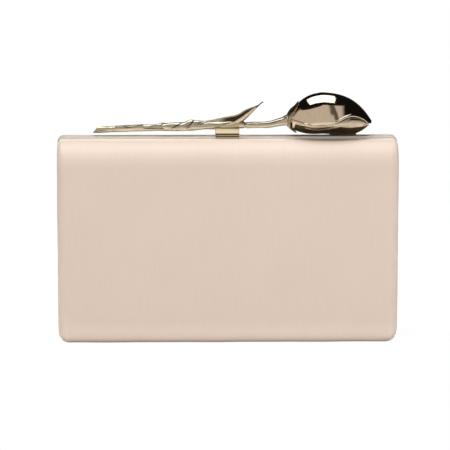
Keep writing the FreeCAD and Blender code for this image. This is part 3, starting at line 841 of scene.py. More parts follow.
# Stitches up both sides and along the foot, set in by the seam, and one row under the hem.
def makeStitches(panel, low, high):
    seam = pocketSize["seam"]
    outline = np.concatenate([panel[::-1, 0], panel[0, 1:-1], panel[:, -1]])
    middle = np.array([0, outline[:, 1].mean(), (low[2] + high[2]) / 2])
    inner = outline + (middle - outline) * [seam / high[0], 0, seam * 2 / (high[2] - low[2])]
    walked = runningLength(inner)
    marks = np.arange(pocketSize["stitch"], walked[-1], pocketSize["stitch"])
    seamCentres, ahead = (np.stack([np.interp(reached, walked, inner[:, axis]) for axis in range(3)], -1)
                          for reached in (marks, marks + pocketSize["stitchAhead"]))
    aside, proud, above = pocketSize["hemRow"]
    hemX = np.arange(-high[0] + aside, high[0] - aside, pocketSize["stitch"])
    hemY = np.interp(hemX, panel[-1, :, 0], panel[-1, :, 1]) - proud
    hemCentres = np.stack([hemX, hemY, np.full(len(hemX), high[2] - pocketSize["hem"] + above)], -1)
    along = np.concatenate([ahead - seamCentres, np.tile([1.0, 0, 0], (len(hemX), 1))])
    along[:, 1] = 0
    along /= np.linalg.norm(along, axis=1, keepdims=True)
    seamCentres[:, 1] -= pocketSize["stitchProud"]
    points, faces = stitchRow(np.concatenate([seamCentres, hemCentres]), along)
    return makePiece("pocketStitches", points, faces, thread, "rear_half")


makePocket()
print("slip pocket made")


stemSize = {
    "left": 75.5,
    "right": 23.0,
    "cut": 3.0,
    # rings of the dished cut end: share of its radius, depth and darkening
    "cutFace": ((0.0, 0.5, 0.25), (0.35, 0.45, 0.25), (0.7, 0.35, 0.25), (0.82, 0.05, 0.0), (0.93, 0.0, 0.0)),
    "tilt": 1.5,
    "radius": 2.1,
    "endRadius": 1.9,
    "taper": 38.0,
    "neckRadius": 1.82,         # right of the joint below the flower
    "joint": 9.6,
    "jointRun": 0.3,
    "nick": (0.5, 0.45, 0.35),  # cut just past the joint: its place, half length and depth
    "saddle": 0.5,
    "clear": 8.0,               # kept true round where it is seated on the lever
    "clearRun": (-1.0, 4.0),    # its swells set in over this stretch, from there
    "sway": (0.3, 9.0, 12.5),   # how far it sways, and over what lengths up and aside
    "swayStart": 0.4,
    "swayGrow": 14.0,           # length over which the sway sets in
    "swayEnd": (14.0, 20.0),
    "bow": (-76.0, -20.0, 0.5),    # from where to where it bows down, and how far
    "slim": 0.1,                   # and how much slimmer it is there
    "neckDrop": 0.4,
    "neckRun": (-1.0, 2.0),     # the neck drops over this stretch, from the joint
    "corners": (0, 52, 108, 155, 206, 262, 312),    # where its facets meet, in degrees round it
    "facet": 0.6,
    "facetParts": 10,
    "twist": (0.018, 0.45, 13.0),   # steady turn to a millimetre, swing and the swing's length
    "swell": ((0.05, 4.3, 1.0), (0.03, 2.1)),
    "groove": 0.2,
    "grooveFrom": 1.06,             # radius that the grooves are cut from, as a share
    "grooveShape": ((0, 0.1, 0.2, 0.3), (1.0, 0.75, 0.2, 0.0)),    # share of a facet off the corner, depth
    "grooveComes": (0.75, 0.8),     # how the grooves come and go: middle and swing
    "grooveLength": (5.0, 1.1),     # its length, and what each corner adds
    "grooveStart": 1.9,
    "smooth": (-62.5, -47.5),       # a stretch that has next to no grooves
    "smoothRun": 2.0,
    "smoothShare": 0.95,
    "neckSmooth": (8.0, 11.0, 0.6),
    "paintedDarkBand": (0.76, 0.93),   # painted dark reflection along the neck's top, as cosines, and its turn towards the back
    "paintedDarkBandTurn": 0.05,
    "paintedDarkBandRun": 1.0,
    "rings": 420,
}
stemHeight = boxOf("clasp_lever")[1][2] + stemSize["radius"] - stemSize["saddle"]
stemTilt = math.radians(stemSize["tilt"])
stemUp = np.array([-math.sin(stemTilt), 0.0, math.cos(stemTilt)])
towardsViewer = np.array([0.0, -1.0, 0.0])


# Outward directions at angles round the stem, from straight up towards the viewer.
def stemOutward(theta):
    return stemUp * np.cos(theta)[..., None] + towardsViewer * np.sin(theta)[..., None]


# A bell curve of the given place, half length and height.
def bell(s, place, length, height):
    return height * np.exp(-(((s - place) / length) ** 2))


# Half a sine wave over the bowed stretch.
def stemBow(s):
    first, last, _ = stemSize["bow"]
    return np.sin(math.pi * np.clip((s - first) / (last - first), 0, 1))


# The stem's middle line: straight and tilted, with a slow sway away from the lever and the flower.
def stemLine(s):
    far, upLength, asideLength = stemSize["sway"]
    clear, joint = stemSize["clear"], stemSize["joint"]
    free = smoothStep(np.abs(s), clear, clear + stemSize["swayGrow"])
    free = free * (1 - smoothStep(s, *stemSize["swayEnd"]))
    sway = far * np.sin(s / upLength + stemSize["swayStart"]) * free
    before, past = stemSize["neckRun"]
    neck = stemSize["neckDrop"] * smoothStep(s, joint + before, joint + past)
    drop = stemSize["bow"][2] * stemBow(s) + neck
    return np.stack([s * math.cos(stemTilt), far * np.sin(s / asideLength) * free,
                     stemHeight + s * math.sin(stemTilt) + sway - drop], -1)


# Columns round the stem, so many to a facet: their angles, how far in a flat facet lies, how deep a groove
# cuts there and which corner it belongs to.
facetParts = stemSize["facetParts"]
stemCorners = np.radians(stemSize["corners"])
facetWidths = np.diff(np.append(stemCorners, stemCorners[0] + fullTurn))
facetPart = np.tile(np.arange(facetParts) / facetParts, len(stemCorners))
facetWide = np.repeat(facetWidths, facetParts)
stemAngles = np.repeat(stemCorners, facetParts) + facetWide * facetPart
stemFlat = np.cos(facetWide / 2) / np.cos((facetPart - 0.5) * facetWide)
stemCorner = np.interp(np.minimum(facetPart, 1 - facetPart), *stemSize["grooveShape"])
cornerNumber = np.repeat(np.arange(len(stemCorners)), facetParts) + np.where(facetPart > 0.5, 1, 0)
cornerNumber = cornerNumber % len(stemCorners)


# The facets twist slowly along the stem.
def stemTwist(s):
    steady, swing, length = stemSize["twist"]
    return steady * s + swing * np.sin(s / length)


# Depth of the groove at each corner, 0 to 1: each fades in and out along the stem as a clipped sine.
def stemGrooves(s):
    first, last = stemSize["smooth"]
    run = stemSize["smoothRun"]
    smooth = smoothStep(s, first - run, first) * (1 - smoothStep(s, last, last + run))
    middle, swing = stemSize["grooveComes"]
    length, more = stemSize["grooveLength"]
    start = stemSize["grooveStart"] * cornerNumber
    comes = middle + swing * np.sin(s / (length + more * cornerNumber) + start)
    neckFrom, neckTo, neckShare = stemSize["neckSmooth"]
    neck = 1 - neckShare * smoothStep(s, neckFrom, neckTo)
    return stemCorner * np.clip(comes, 0, 1) * (1 - stemSize["smoothShare"] * smooth) * neck


# Radius round and along the stem: a taper, a step down to the neck with a nick beside it, slow swells, flat
# facets and grooves.
def stemRadius(s):
    clear, joint = stemSize["clear"], stemSize["joint"]
    before, past = stemSize["clearRun"]
    free = smoothStep(np.abs(s), clear + before, clear + past)
    taper = np.interp(s, [-stemSize["left"], -stemSize["taper"]], [stemSize["endRadius"], stemSize["radius"]])
    onNeck = smoothStep(s, joint - stemSize["jointRun"], joint)
    past, length, depth = stemSize["nick"]
    size = taper + (stemSize["neckRadius"] - taper) * onNeck - bell(s, joint + past, length, depth)
    (long, longLength, longStart), (short, shortLength) = stemSize["swell"]
    swell = long * np.sin(s / longLength + longStart) + short * np.sin(s / shortLength + stemAngles * 2)
    facets = 1 - stemSize["facet"] * (1 - stemFlat)
    slim = 1 - stemSize["slim"] * stemBow(s)
    grooved = stemSize["grooveFrom"] - stemSize["groove"] * stemGrooves(s)
    return size * (1 + free * swell) * facets * slim * grooved


# Painted dark reflection: 1 along the top of the neck, fading out on both sides of it.
def paintedTopReflection(theta):
    return smoothStep(np.cos(theta + stemSize["paintedDarkBandTurn"]), *stemSize["paintedDarkBand"])


# Stem: faceted rings round the middle line, starting on a slanted cut whose face is dished.
def makeStem():
    share = np.linspace(0, 1, stemSize["rings"])[:, None]
    first = -stemSize["left"] + stemSize["cut"] * (1 + np.cos(stemAngles - stemTwist(-stemSize["left"]))) / 2
    s = first + (stemSize["right"] - first) * share
    theta = stemAngles - stemTwist(s)
    rings = stemLine(s) + stemOutward(theta) * stemRadius(s)[..., None]
    shrink, dish, darkeningAndPaintedShade = np.array(stemSize["cutFace"]).T[..., None, None]
    middle = rings[0].mean(axis=0)
    face = middle + (rings[0] - middle) * shrink + np.array([math.cos(stemTilt), 0, 0]) * dish
    end = rings[-1].mean(axis=0)
    close = end + (rings[-1] - end) * np.array([0.5, 0.0])[:, None, None]
    points = np.concatenate([face, rings, close])
    onNeck = smoothStep(s, stemSize["joint"], stemSize["joint"] + stemSize["paintedDarkBandRun"])
    grooveDarkAndPaintedShade = np.zeros(points.shape[:2])
    grooveDarkAndPaintedShade[:len(face)] = darkeningAndPaintedShade[..., 0]
    # darker in the grooves, and a painted dark reflection along the neck's top
    grooveDarkAndPaintedShade[len(face):-len(close)] = np.maximum(stemGrooves(s), paintedTopReflection(theta) * onNeck)
    piece = makePiece("tulipStem", points, gridFaces(*points.shape[:2], closed=True), stemGold, "clasp",
                      grooveDarkAndPaintedShade=grooveDarkAndPaintedShade, sharp=24)
    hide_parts("tulip_stem")


makeStem()


leafSize = {
    "left": -25.0,
    "tip": 20.35,
    "foot": 0.4,            # how far its keel is sunk below the stem's middle line
    "rise": 13.4,
    "bendFrom": -1.0,
    "bendPower": 1.5,
    "overrun": 1.15,        # the step is cut off before it levels out
    "near": 3.5,            # height of the near edge over the keel, and where it starts and ends
    "nearFrom": -6.0,
    "nearTo": 19.8,
    "nearPowers": (1.3, 1.4),
    "far": (3.0, 5.4),      # height of the far edge over the keel, at the root and at the widest
    "farRoot": (-4.0, 8.0),     # over what stretch it rises, from the left end
    "farWiden": (-14.0, 4.0),
    "farClose": (9.0, 20.2),
    "half": 2.55,
    "tipHalf": 0.55,
    "narrow": (8.0, 21.0),
    "wall": 0.75,
    "ribWall": 1.25,        # the near edge is thick and rounded
    "ribAcross": (0.5, 0.85),
    "edgeWall": 0.4,
    "edgeAcross": (0.4, 0.9),
    "roundFrom": 0.9,       # both edges are rounded off from here, as a share of the half width
    "roundDepth": 0.97,
    "tipThin": 0.5,
    "vein": 0.06,
    "veinRate": 26,
    "hollow": (-10.0, 3.0),    # where the painted shade in its hollow sets in
    "hollowAcross": (-0.75, -0.4, 0.85, 0.99),
    "dark": (14.5, 17.5),      # and where a darkening takes in the whole point
    "rows": 150,
    "columns": 61,
}


# The leaf's keel runs inside the stem, then leaves it and rises to the point by a smooth step.
def leafKeel(x):
    share = np.clip((x - leafSize["bendFrom"]) / (leafSize["tip"] - leafSize["bendFrom"]), 0, 1)
    root = stemHeight - leafSize["foot"] + np.minimum(x, 0) * math.tan(stemTilt)
    end = 1 / leafSize["overrun"]
    return root + leafSize["rise"] * smoothStep(share ** leafSize["bendPower"] * end) / smoothStep(end)


# Leaf: a folded trough. Each cross-section is a quarter ellipse up to the near edge and another up to the far
# edge, which stands higher. The near edge swells and dies away as a sine; the wall is rounded off at both
# edges, fine veins run lengthwise, the hollow has painted shade and the point is darker.
def makeLeaf():
    x = np.linspace(leafSize["left"], leafSize["tip"], leafSize["rows"])[:, None]
    across = np.sin(np.linspace(-quarterTurn, quarterTurn, leafSize["columns"]))[None, :]
    onNear = np.clip((x - leafSize["nearFrom"]) / (leafSize["nearTo"] - leafSize["nearFrom"]), 0, 1)
    lean, sharpness = leafSize["nearPowers"]
    near = leafSize["near"] * np.sin(math.pi * onNear**lean) ** sharpness
    low, high = leafSize["far"]
    far = low + (high - low) * smoothStep(x, *leafSize["farWiden"])
    far = far * (1 - smoothStep(x, *leafSize["farClose"]))
    far = far * smoothStep(x, *(leafSize["left"] + along for along in leafSize["farRoot"]))
    taper = smoothStep(x, *leafSize["narrow"])
    half = leafSize["half"] + (leafSize["tipHalf"] - leafSize["half"]) * taper
    turn = across * quarterTurn
    z = leafKeel(x) + np.where(across < 0, near, far) * (1 - np.cos(turn))
    skin = np.stack(np.broadcast_arrays(x, half * np.sin(turn), z), -1)
    inward = np.cross(np.gradient(skin, axis=0), np.gradient(skin, axis=1))
    inward /= np.linalg.norm(inward, axis=-1, keepdims=True)
    thick = (leafSize["wall"]
             + (leafSize["ribWall"] - leafSize["wall"]) * smoothStep(-across, *leafSize["ribAcross"])
             + (leafSize["edgeWall"] - leafSize["wall"]) * smoothStep(across, *leafSize["edgeAcross"]))
    edge = np.clip((np.abs(across) - leafSize["roundFrom"]) / (1 - leafSize["roundFrom"]), 0, 1)
    veins = leafSize["vein"] * np.cos(across * leafSize["veinRate"]) * (1 - across**2)
    rounded = np.sqrt(1 - leafSize["roundDepth"] * edge**2)
    wall = (thick * rounded + veins) * (1 - leafSize["tipThin"] * taper)
    points = np.concatenate([skin, (skin + inward * wall[..., None])[:, ::-1]], axis=1)
    # painted shade in the leaf's hollow, and a darker point
    begins, whole, ebbs, ends = leafSize["hollowAcross"]
    hollow = smoothStep(across, begins, whole) * (1 - smoothStep(across, ebbs, ends))
    hollow = hollow * smoothStep(x, *leafSize["hollow"])
    point = smoothStep(x, *leafSize["dark"]) * np.ones_like(hollow)
    grooveDarkAndPaintedShade = np.concatenate([point, np.maximum(hollow, point)[:, ::-1]], axis=1)
    piece = makePiece("tulipLeaf", points, stripFaces(*points.shape[:2]), stemGold, "clasp",
                      grooveDarkAndPaintedShade=grooveDarkAndPaintedShade)
    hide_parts("tulip_leaf")


sheathSize = {
    "first": -39.0,
    "last": -8.5,
    "wall": 0.55,
    "edgeWall": 0.3,            # share of the wall that is left at its edges
    "edgeRun": 0.2,
    "endRun": (-0.02, 0.1),     # over what share of its length it thins out at each end
    "inside": 0.8,              # where its inner skin lies in the stem, as a share of the stem's radius
    "flare": 0.35,              # how far its lower lip stands off, and from what share of its width
    "flareFrom": 0.8,
    "flareInside": 0.9,         # how much of that its inner skin follows
    "upper": -70,               # its upper edge, in degrees round the stem
    "lower": (30, 120, 0.45),   # its lower edge: start, climb, and how much less it climbs to the right
    "climb": (1.15, 0.02, 0.8),
    "scallop": (11, 13, 0.5),   # degrees, rate and start
    "crease": 0.17,
    "creaseRates": (0.8, 2.6),  # along the stem and round it
    "creaseSway": (0.9, 0.31),
    "creasePaintedShade": (0.62, 1.0),
    "lobe": (-19.5, 4.0, 1.3),  # the leaf's root: its place, half length and height
    "rows": 150,
    "columns": 44,
}


# The leaf's foot clasps the stem: a thin skin round it whose lower edge climbs to the right in slow scallops,
# crossed by slanting creases with painted shade on one side of each.
def makeSheath():
    share = np.linspace(0, 1, sheathSize["rows"])[:, None]
    across = np.linspace(0, 1, sheathSize["columns"])[None, :]
    s = sheathSize["first"] + (sheathSize["last"] - sheathSize["first"]) * share
    upper = sheathSize["upper"]
    degrees, rate, start = sheathSize["scallop"]
    scallop = degrees * np.sin(share * rate + start) * np.sin(math.pi * share)
    rate, start, power = sheathSize["climb"]
    climb = np.sin(math.pi * np.clip(share * rate + start, 0, 1)) ** power
    start, rise, less = sheathSize["lower"]
    lower = start + rise * climb * (1 - less * share) + scallop
    theta = np.radians(upper + (lower - upper) * across)
    alongRate, roundRate = sheathSize["creaseRates"]
    swing, swingRate = sheathSize["creaseSway"]
    slant = np.sin(alongRate * s + roundRate * theta + swing * np.sin(swingRate * s))
    within = np.sqrt(np.sin(math.pi * across))
    lip = sheathSize["flare"] * smoothStep(across, sheathSize["flareFrom"], 1.0) * np.sin(math.pi * share)
    rim = smoothStep(np.minimum(across, 1 - across), 0, sheathSize["edgeRun"])
    ends = smoothStep(np.minimum(share, 1 - share), *sheathSize["endRun"])
    wall = sheathSize["wall"] * (sheathSize["edgeWall"] + (1 - sheathSize["edgeWall"]) * rim) * ends
    outer = stemSize["radius"] + wall + sheathSize["crease"] * slant * within * ends + lip
    outer = outer + bell(s, *sheathSize["lobe"]) * np.clip(np.cos(theta), 0, 1) ** 3
    inner = stemSize["radius"] * sheathSize["inside"] + lip * sheathSize["flareInside"] + 0 * wall
    outward = stemOutward(theta)
    line = stemLine(s)
    points = np.concatenate([line + outward * outer[..., None],
                             (line + outward * inner[..., None])[:, ::-1]], axis=1)
    # painted shade on one side of each crease
    grooveDarkAndPaintedShade = np.concatenate([smoothStep(-slant, *sheathSize["creasePaintedShade"]) * within, 0 * wall], axis=1)
    makePiece("leafSheath", points, stripFaces(*points.shape[:2]), stemGold, "clasp",
              grooveDarkAndPaintedShade=grooveDarkAndPaintedShade)


makeLeaf()
makeSheath()
print("stem and leaf made")


flowerSize = {
    "left": 36.4,
    "length": 45.3,
    "radius": 12.6,
    "baseStart": 33.7,
    "baseRun": 20.4,        # from the widest place back to where the base would close
    "baseLimit": 0.995,     # how much of that run is used at most
    "baseRound": 0.7,
    "baseDrop": (5.1, 1.4),     # how far the middle line dips there, and by what power
    "tipDrop": (5.5, 1.6),
    "widest": 0.37,
    "closing": 3.5,
    "lift": 1.3,
    "wall": 1.0,
    "edgeWall": 0.45,       # share of the wall that is left at a petal's edges
    "edgeRun": 0.06,
    "leastInside": 0.5,     # share of its own radius that a petal's inner skin keeps at least
    "gap": 0.25,
    "leastSkin": 0.35,      # share of the flower's radius that an inner petal keeps at least
    "overlap": 12.0,
    "crown": 0.08,          # how much lower its top is than a full round, from the base forward
    "crownFrom": (0.1, 0.35),
    "belly": 0.24,          # how far its widest place sits below the middle, as a share of the radius
    "rim": (90.0, 20.0),    # the near petal's edge: its middle and swing in degrees
    "rimCrest": 0.33,       # where along the flower it hangs lowest, and the length of its wave
    "rimWave": 0.94,
    "rimBase": (7.0, 0.2),          # what it hangs lower at the base, and up to where
    "rimTip": (16.0, 0.88, 0.97),   # and at the tip
    "upperBack": (-35.0, 15.0),     # the other edges: degrees at the base, and their turn by the tip
    "lowerBack": (232.0, -40.0),
    "rearFront": (238.0, -30.0),
    "flare": 0.9,           # how far the lower petal stands out just below the rim, towards the tip
    "flareUnder": ((-1, 4), (34, 6)),
    "flareAlong": ((0.45, 0.75), (1, 0.85)),
    "bead": 0.5,            # height and half width of the rounded rim
    "beadWide": 0.65,
    "beadPower": 0.6,
    "rows": 130,
    "columns": 81,
}
# Painted dark reflection on the lower petals, by degrees under the rim.
petalPaintedLight = {
    "depth": 0.95,
    "stripe": (2, 4, 7, 10),    # a painted bright stripe, left free of it, comes and goes here
    "stripeGrow": (26, 30),     # and is this much wider towards the tip
    "paintedGlint": (13, 15, 19, 22),  # a second one, towards the base
    "paintedGlintFrom": (0.1, 0.25),
    "end": (75, 95),
}
petalStep = flowerSize["wall"] + flowerSize["gap"]
flowerHeight = boxOf("rear_frame")[1][2] + flowerSize["lift"] + flowerSize["radius"] - petalStep


# The flower's middle line and radius at a share of its length. Back from the widest place the radius is a
# power of one less the square of the way; towards the tip it closes by a power. The line dips both ways.
def flowerSection(share):
    widest = flowerSize["widest"]
    toBase = (widest - share) * flowerSize["length"] / flowerSize["baseRun"]
    toBase = np.clip(toBase, 0, flowerSize["baseLimit"])
    toTip = np.clip((share - widest) / (1 - widest), 0, 1)
    closing = 1 - toTip ** flowerSize["closing"]
    radius = flowerSize["radius"] * (1 - toBase**2) ** flowerSize["baseRound"] * closing
    baseDrop, basePower = flowerSize["baseDrop"]
    tipDrop, tipPower = flowerSize["tipDrop"]
    x = flowerSize["left"] + flowerSize["length"] * share
    z = flowerHeight - (baseDrop * toBase**basePower + tipDrop * toTip**tipPower)
    return np.stack([x, 0 * x, z], -1), radius


# Height over the middle line at an angle from straight up: a tall half ellipse over a shallow one.
def bellied(angle, skin, radius, belly, crown=0.0):
    up = np.cos(angle)
    return up * skin * (1 + belly * np.sign(up) - crown * (up > 0)) - belly * radius


def flowerShare(x):
    return (x - flowerSize["left"]) / flowerSize["length"]


# A petal edge that turns by the cube of the way along.
def turningEdge(share, name):
    start, turn = flowerSize[name]
    return start + turn * share**3


# The upper petal's edge that faces the viewer: a wave, lower again at the base and the tip.
def rimEdge(share):
    middle, swing = flowerSize["rim"]
    wave = np.cos(fullTurn * (share - flowerSize["rimCrest"]) / flowerSize["rimWave"])
    baseMore, baseTo = flowerSize["rimBase"]
    tipMore, tipFrom, tipTo = flowerSize["rimTip"]
    lower = baseMore * smoothStep(share, baseTo, 0) + tipMore * smoothStep(share, tipFrom, tipTo)
    return middle + swing * wave + lower


# Petal edges in degrees round the flower, from straight up towards the viewer.
def upperEdges(share):
    return turningEdge(share, "upperBack"), rimEdge(share)


def lowerEdges(share):
    return rimEdge(share) - flowerSize["overlap"], turningEdge(share, "lowerBack")


def rearEdges(share):
    return turningEdge(share, "rearFront"), 360 + turningEdge(share, "upperBack") + flowerSize["overlap"]


# Painted dark reflection under the rim, but for a painted bright stripe along it and a second one further
# down.
def paintPetalShade(under, share, toRight):
    comes, bright, ebbs, gone = petalPaintedLight["stripe"]
    ebbMore, goneMore = petalPaintedLight["stripeGrow"]
    stripe = smoothStep(under, comes, bright)
    stripe = 1 - stripe * (1 - smoothStep(under, ebbs + ebbMore * toRight, gone + goneMore * toRight))
    comes, bright, ebbs, gone = petalPaintedLight["paintedGlint"]
    paintedGlint = smoothStep(under, comes, bright) * (1 - smoothStep(under, ebbs, gone))
    paintedGlint = paintedGlint * smoothStep(share, *petalPaintedLight["paintedGlintFrom"])
    darkeningAndPaintedShade = stripe - stripe * paintedGlint * (1 - toRight)
    return petalPaintedLight["depth"] * darkeningAndPaintedShade * (1 - smoothStep(under, *petalPaintedLight["end"]))


# A petal: a slice of the flower's skin between two edges, thin at its rims, with a half-round bead along
# them. Layer 0 is the outermost and polished; a petal of layer 1 lies a petal's step further in and has
# a painted dark reflection with painted bright stripes.
def makePetal(name, node, edges, layer, tipShare, beadFirst, beadLast):
    along = np.linspace(0, math.pi, flowerSize["rows"])[:, None]
    base = flowerShare(flowerSize["baseStart"])
    share = base + (tipShare - base) * (1 - np.cos(along)) / 2
    across = (1 - np.cos(np.linspace(0, math.pi, flowerSize["columns"])[None, :])) / 2
    first, last = (np.radians(edge) for edge in edges(share))
    angle = first + (last - first) * across
    centre, radius = flowerSection(share)
    skin = np.maximum(radius - layer * petalStep, flowerSize["leastSkin"] * radius)
    under = np.degrees(angle) - rimEdge(share)
    comes, ebbs = flowerSize["flareUnder"]
    rightward, tipward = flowerSize["flareAlong"]
    toRight = smoothStep(share, *rightward)
    flare = smoothStep(under, *comes) * smoothStep(under, *ebbs) * toRight * smoothStep(share, *tipward)
    beadHigh = flowerSize["bead"] * np.sin(along) ** flowerSize["beadPower"]
    outer = skin + flowerSize["flare"] * flare * layer
    for amount, inset in ((beadFirst, angle - first), (beadLast, last - angle)):
        fromCrest = inset * skin / flowerSize["beadWide"] - 1
        outer = outer + amount * beadHigh * np.sqrt(np.clip(1 - fromCrest**2, 0, 1))
    rim = smoothStep(np.minimum(across, 1 - across), 0, flowerSize["edgeRun"])
    wall = flowerSize["wall"] * (flowerSize["edgeWall"] + (1 - flowerSize["edgeWall"]) * rim)
    both = np.stack([outer, np.maximum(outer - wall, flowerSize["leastInside"] * outer)])
    crown = flowerSize["crown"] * smoothStep(share, *flowerSize["crownFrom"])
    high = bellied(angle, both, radius, flowerSize["belly"], crown)
    skins = centre + towardsViewer * (np.sin(angle) * both)[..., None] + np.array([0, 0, 1]) * high[..., None]
    points = np.concatenate([skins[0], skins[1][:, ::-1]], axis=1)
    # painted dark reflection under the rim of the lower petals, with painted bright stripes
    darkeningAndPaintedShade = layer * paintPetalShade(under, share, toRight)
    grooveDarkAndPaintedShade = np.concatenate([darkeningAndPaintedShade, 0 * darkeningAndPaintedShade], axis=1)
    piece = makePiece(name, points, stripFaces(*points.shape[:2]), stemGold if layer else gold, "clasp",
                      grooveDarkAndPaintedShade=grooveDarkAndPaintedShade)
    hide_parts(node)


# Each petal's node, edges, layer, where its tip lies, and how much bead its first and last edge have.
petals = {
    "upperPetal": ("petal_upper", upperEdges, 0, 0.985, 0.0, 1.0),
    "lowerPetal": ("petal_lower", lowerEdges, 1, 0.95, 0.0, 0.6),
    "rearPetal": ("petal_rear", rearEdges, 1, 0.95, 0.6, 0.0),
}
for petalName, petal in petals.items():
    makePetal(petalName, *petal)


calyxSize = {
    "first": 21.5,
    "full": 1.08,           # how much fuller than the neck it starts
    "grow": (0.6, 34.0),    # how much the neck swells before the flare, and up to where
    "facetsEnd": (28.0, 36.0),
    "groovesEnd": (25.0, 36.0),
    "proud": 0.35,
    "sides": 35.2,          # where its edge lies at the front and back
    "points": (40.0, 39.0),     # and where its upper and lower points end
    "curl": (0.45, 0.3),        # how far the upper point curls off, and the lower one's share of that
    "curlFrom": 0.86,
    "hump": (34.6, 2.6, 1.2),   # how the upper point stands off: place, half length and height
    "lip": 0.15,                # how far its edge turns back
    "inset": 0.5,               # how far its inside lies in the flower
    "insideShrink": 0.4,        # and how it closes: share of that radius, and where
    "insideEnd": (36.0, 35.0),
    "footRing": 0.6,
    "under": (0.1, 0.5),        # painted shade on its underside: between what cosines, how much and over what stretch
    "underPaintedShade": (0.8, 33.0, 36.0),
    "rings": 90,
}


# Flower base: the faceted stem swells and opens round the flower's foot. Its radius is a smooth larger of the
# neck's and the flower's own, and its edge runs out into a point above and a point below.
def makeCalyx():
    share = np.linspace(0, 1, calyxSize["rings"])[:, None]
    first = calyxSize["first"]
    theta = stemAngles - stemTwist(first)
    above = np.cos(theta) > 0
    reach = np.abs(np.cos(theta)) ** 3
    end = calyxSize["sides"] + (np.where(above, *calyxSize["points"]) - calyxSize["sides"]) * reach
    x = first + (end - first) * share
    centre, flower = flowerSection(flowerShare(x))
    joined = smoothStep(x, first, flowerSize["baseStart"])
    start = stemHeight - stemSize["neckDrop"] + first * math.tan(stemTilt)
    z = (start + (x - first) * math.tan(stemTilt)) * (1 - joined) + centre[..., 2] * joined
    facets = 1 - stemSize["facet"] * (1 - stemFlat) * (1 - smoothStep(x, *calyxSize["facetsEnd"]))
    grow, growTo = calyxSize["grow"]
    neck = (stemSize["neckRadius"] + grow * smoothStep(x, first, growTo)) * calyxSize["full"] * facets
    grown = np.where(x > flowerSize["baseStart"], flower + calyxSize["proud"], 0.0)
    grooves = stemGrooves(first) * (1 - smoothStep(x, *calyxSize["groovesEnd"]))
    radius = (neck**4 + grown**4) ** 0.25 * (1 - stemSize["groove"] * grooves)
    curl, lowerShare = calyxSize["curl"]
    curl = curl * np.where(above, 1.0, lowerShare)
    radius = radius + curl * reach**2 * smoothStep(share, calyxSize["curlFrom"], 1.0)
    radius = radius + bell(x, *calyxSize["hump"]) * np.clip(np.cos(theta), 0, 1) ** 2

    # three more rings go back inside and close it
    inside = np.maximum(flower[-1] - calyxSize["inset"], calyxSize["inset"])
    turnsBack, closes = calyxSize["insideEnd"]
    # painted shade on the flower base's underside
    paintedUnderShade = smoothStep(-np.cos(theta), *calyxSize["under"])
    shade, shadeFrom, shadeTo = calyxSize["underPaintedShade"]
    paintedUnderShade = shade * paintedUnderShade * smoothStep(x, shadeFrom, shadeTo)
    # darker grooves, painted dark reflection along the top, painted shade on the underside
    darkeningAndPaintedShade = np.maximum(np.maximum(grooves, paintedTopReflection(theta)), paintedUnderShade)
    rings = np.concatenate([radius, [inside, calyxSize["insideShrink"] * inside, 0 * inside]])
    x = np.concatenate([x, [end - calyxSize["lip"], np.minimum(end, turnsBack), 0 * end + closes]])
    z = np.concatenate([z, [z[-1], z[-1], 0 * end + z[-1].mean()]])
    flower, joined = (np.concatenate([grid, grid[-1:].repeat(3, axis=0)]) for grid in (flower, joined))
    high = bellied(theta, rings, flower, flowerSize["belly"] * joined)
    points = np.stack([x, -rings * np.sin(theta), z + high], -1)
    middle = points[0].mean(axis=0)
    foot = np.array([0.0, calyxSize["footRing"]])[:, None, None]
    points = np.concatenate([middle + (points[:1] - middle) * foot, points])
    grooveDarkAndPaintedShade = np.zeros(points.shape[:2])
    grooveDarkAndPaintedShade[2:-3] = darkeningAndPaintedShade
    piece = makePiece("flowerBase", points, gridFaces(*points.shape[:2], closed=True), stemGold, "clasp",
                      grooveDarkAndPaintedShade=grooveDarkAndPaintedShade, sharp=35)
    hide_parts("flower_base")


makeCalyx()
print("flower made")


springSize = {
    "wire": 0.2,
    "coil": 1.1,
    "pitch": 0.9,
    "turns": 3.5,
    "lowerLeg": 1.3,
    "upperLeg": 2.4,
    "steps": 220,
    "sides": 14,
}


# Spring: a round wire on a helix about the pivot pin, with a straight leg off each end along the helix's own
# way. Its legs sit where one would stay with the case and the other go with the lever; it is built on no
# body.
def makeSpring():
    low, high = boxOf("clasp_pivot_pin")
    pin = (low + high) / 2
    coil = springSize["coil"]
    rise = springSize["pitch"] / fullTurn
    last = fullTurn * springSize["turns"]
    angle = np.concatenate([[0.0], np.linspace(0, last, springSize["steps"]), [last]])
    leg = np.zeros_like(angle)
    leg[0] = -springSize["lowerLeg"]
    leg[-1] = springSize["upperLeg"]
    outward = np.stack([0 * angle, np.sin(angle), -np.cos(angle)], -1)
    way = np.stack([rise + 0 * angle, coil * np.cos(angle), coil * np.sin(angle)], -1)
    way /= np.linalg.norm(way, axis=-1, keepdims=True)
    line = pin + outward * coil + way * leg[:, None]
    line[:, 0] += rise * (angle - last / 2)
    turn = np.linspace(0, fullTurn, springSize["sides"], endpoint=False)[:, None]
    ring = outward[:, None] * np.cos(turn) + np.cross(way, outward)[:, None] * np.sin(turn)
    thick = springSize["wire"] * np.concatenate([[0.0], np.ones(len(line)), [0.0]])
    rows = np.concatenate([[0], np.arange(len(line)), [len(line) - 1]])
    points = line[rows][:, None] + ring[rows] * thick[:, None, None]
    piece = makePiece("claspSpring", points, gridFaces(*points.shape[:2], closed=True), steel, None)
    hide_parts("clasp_spring")
    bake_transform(piece)


makeSpring()


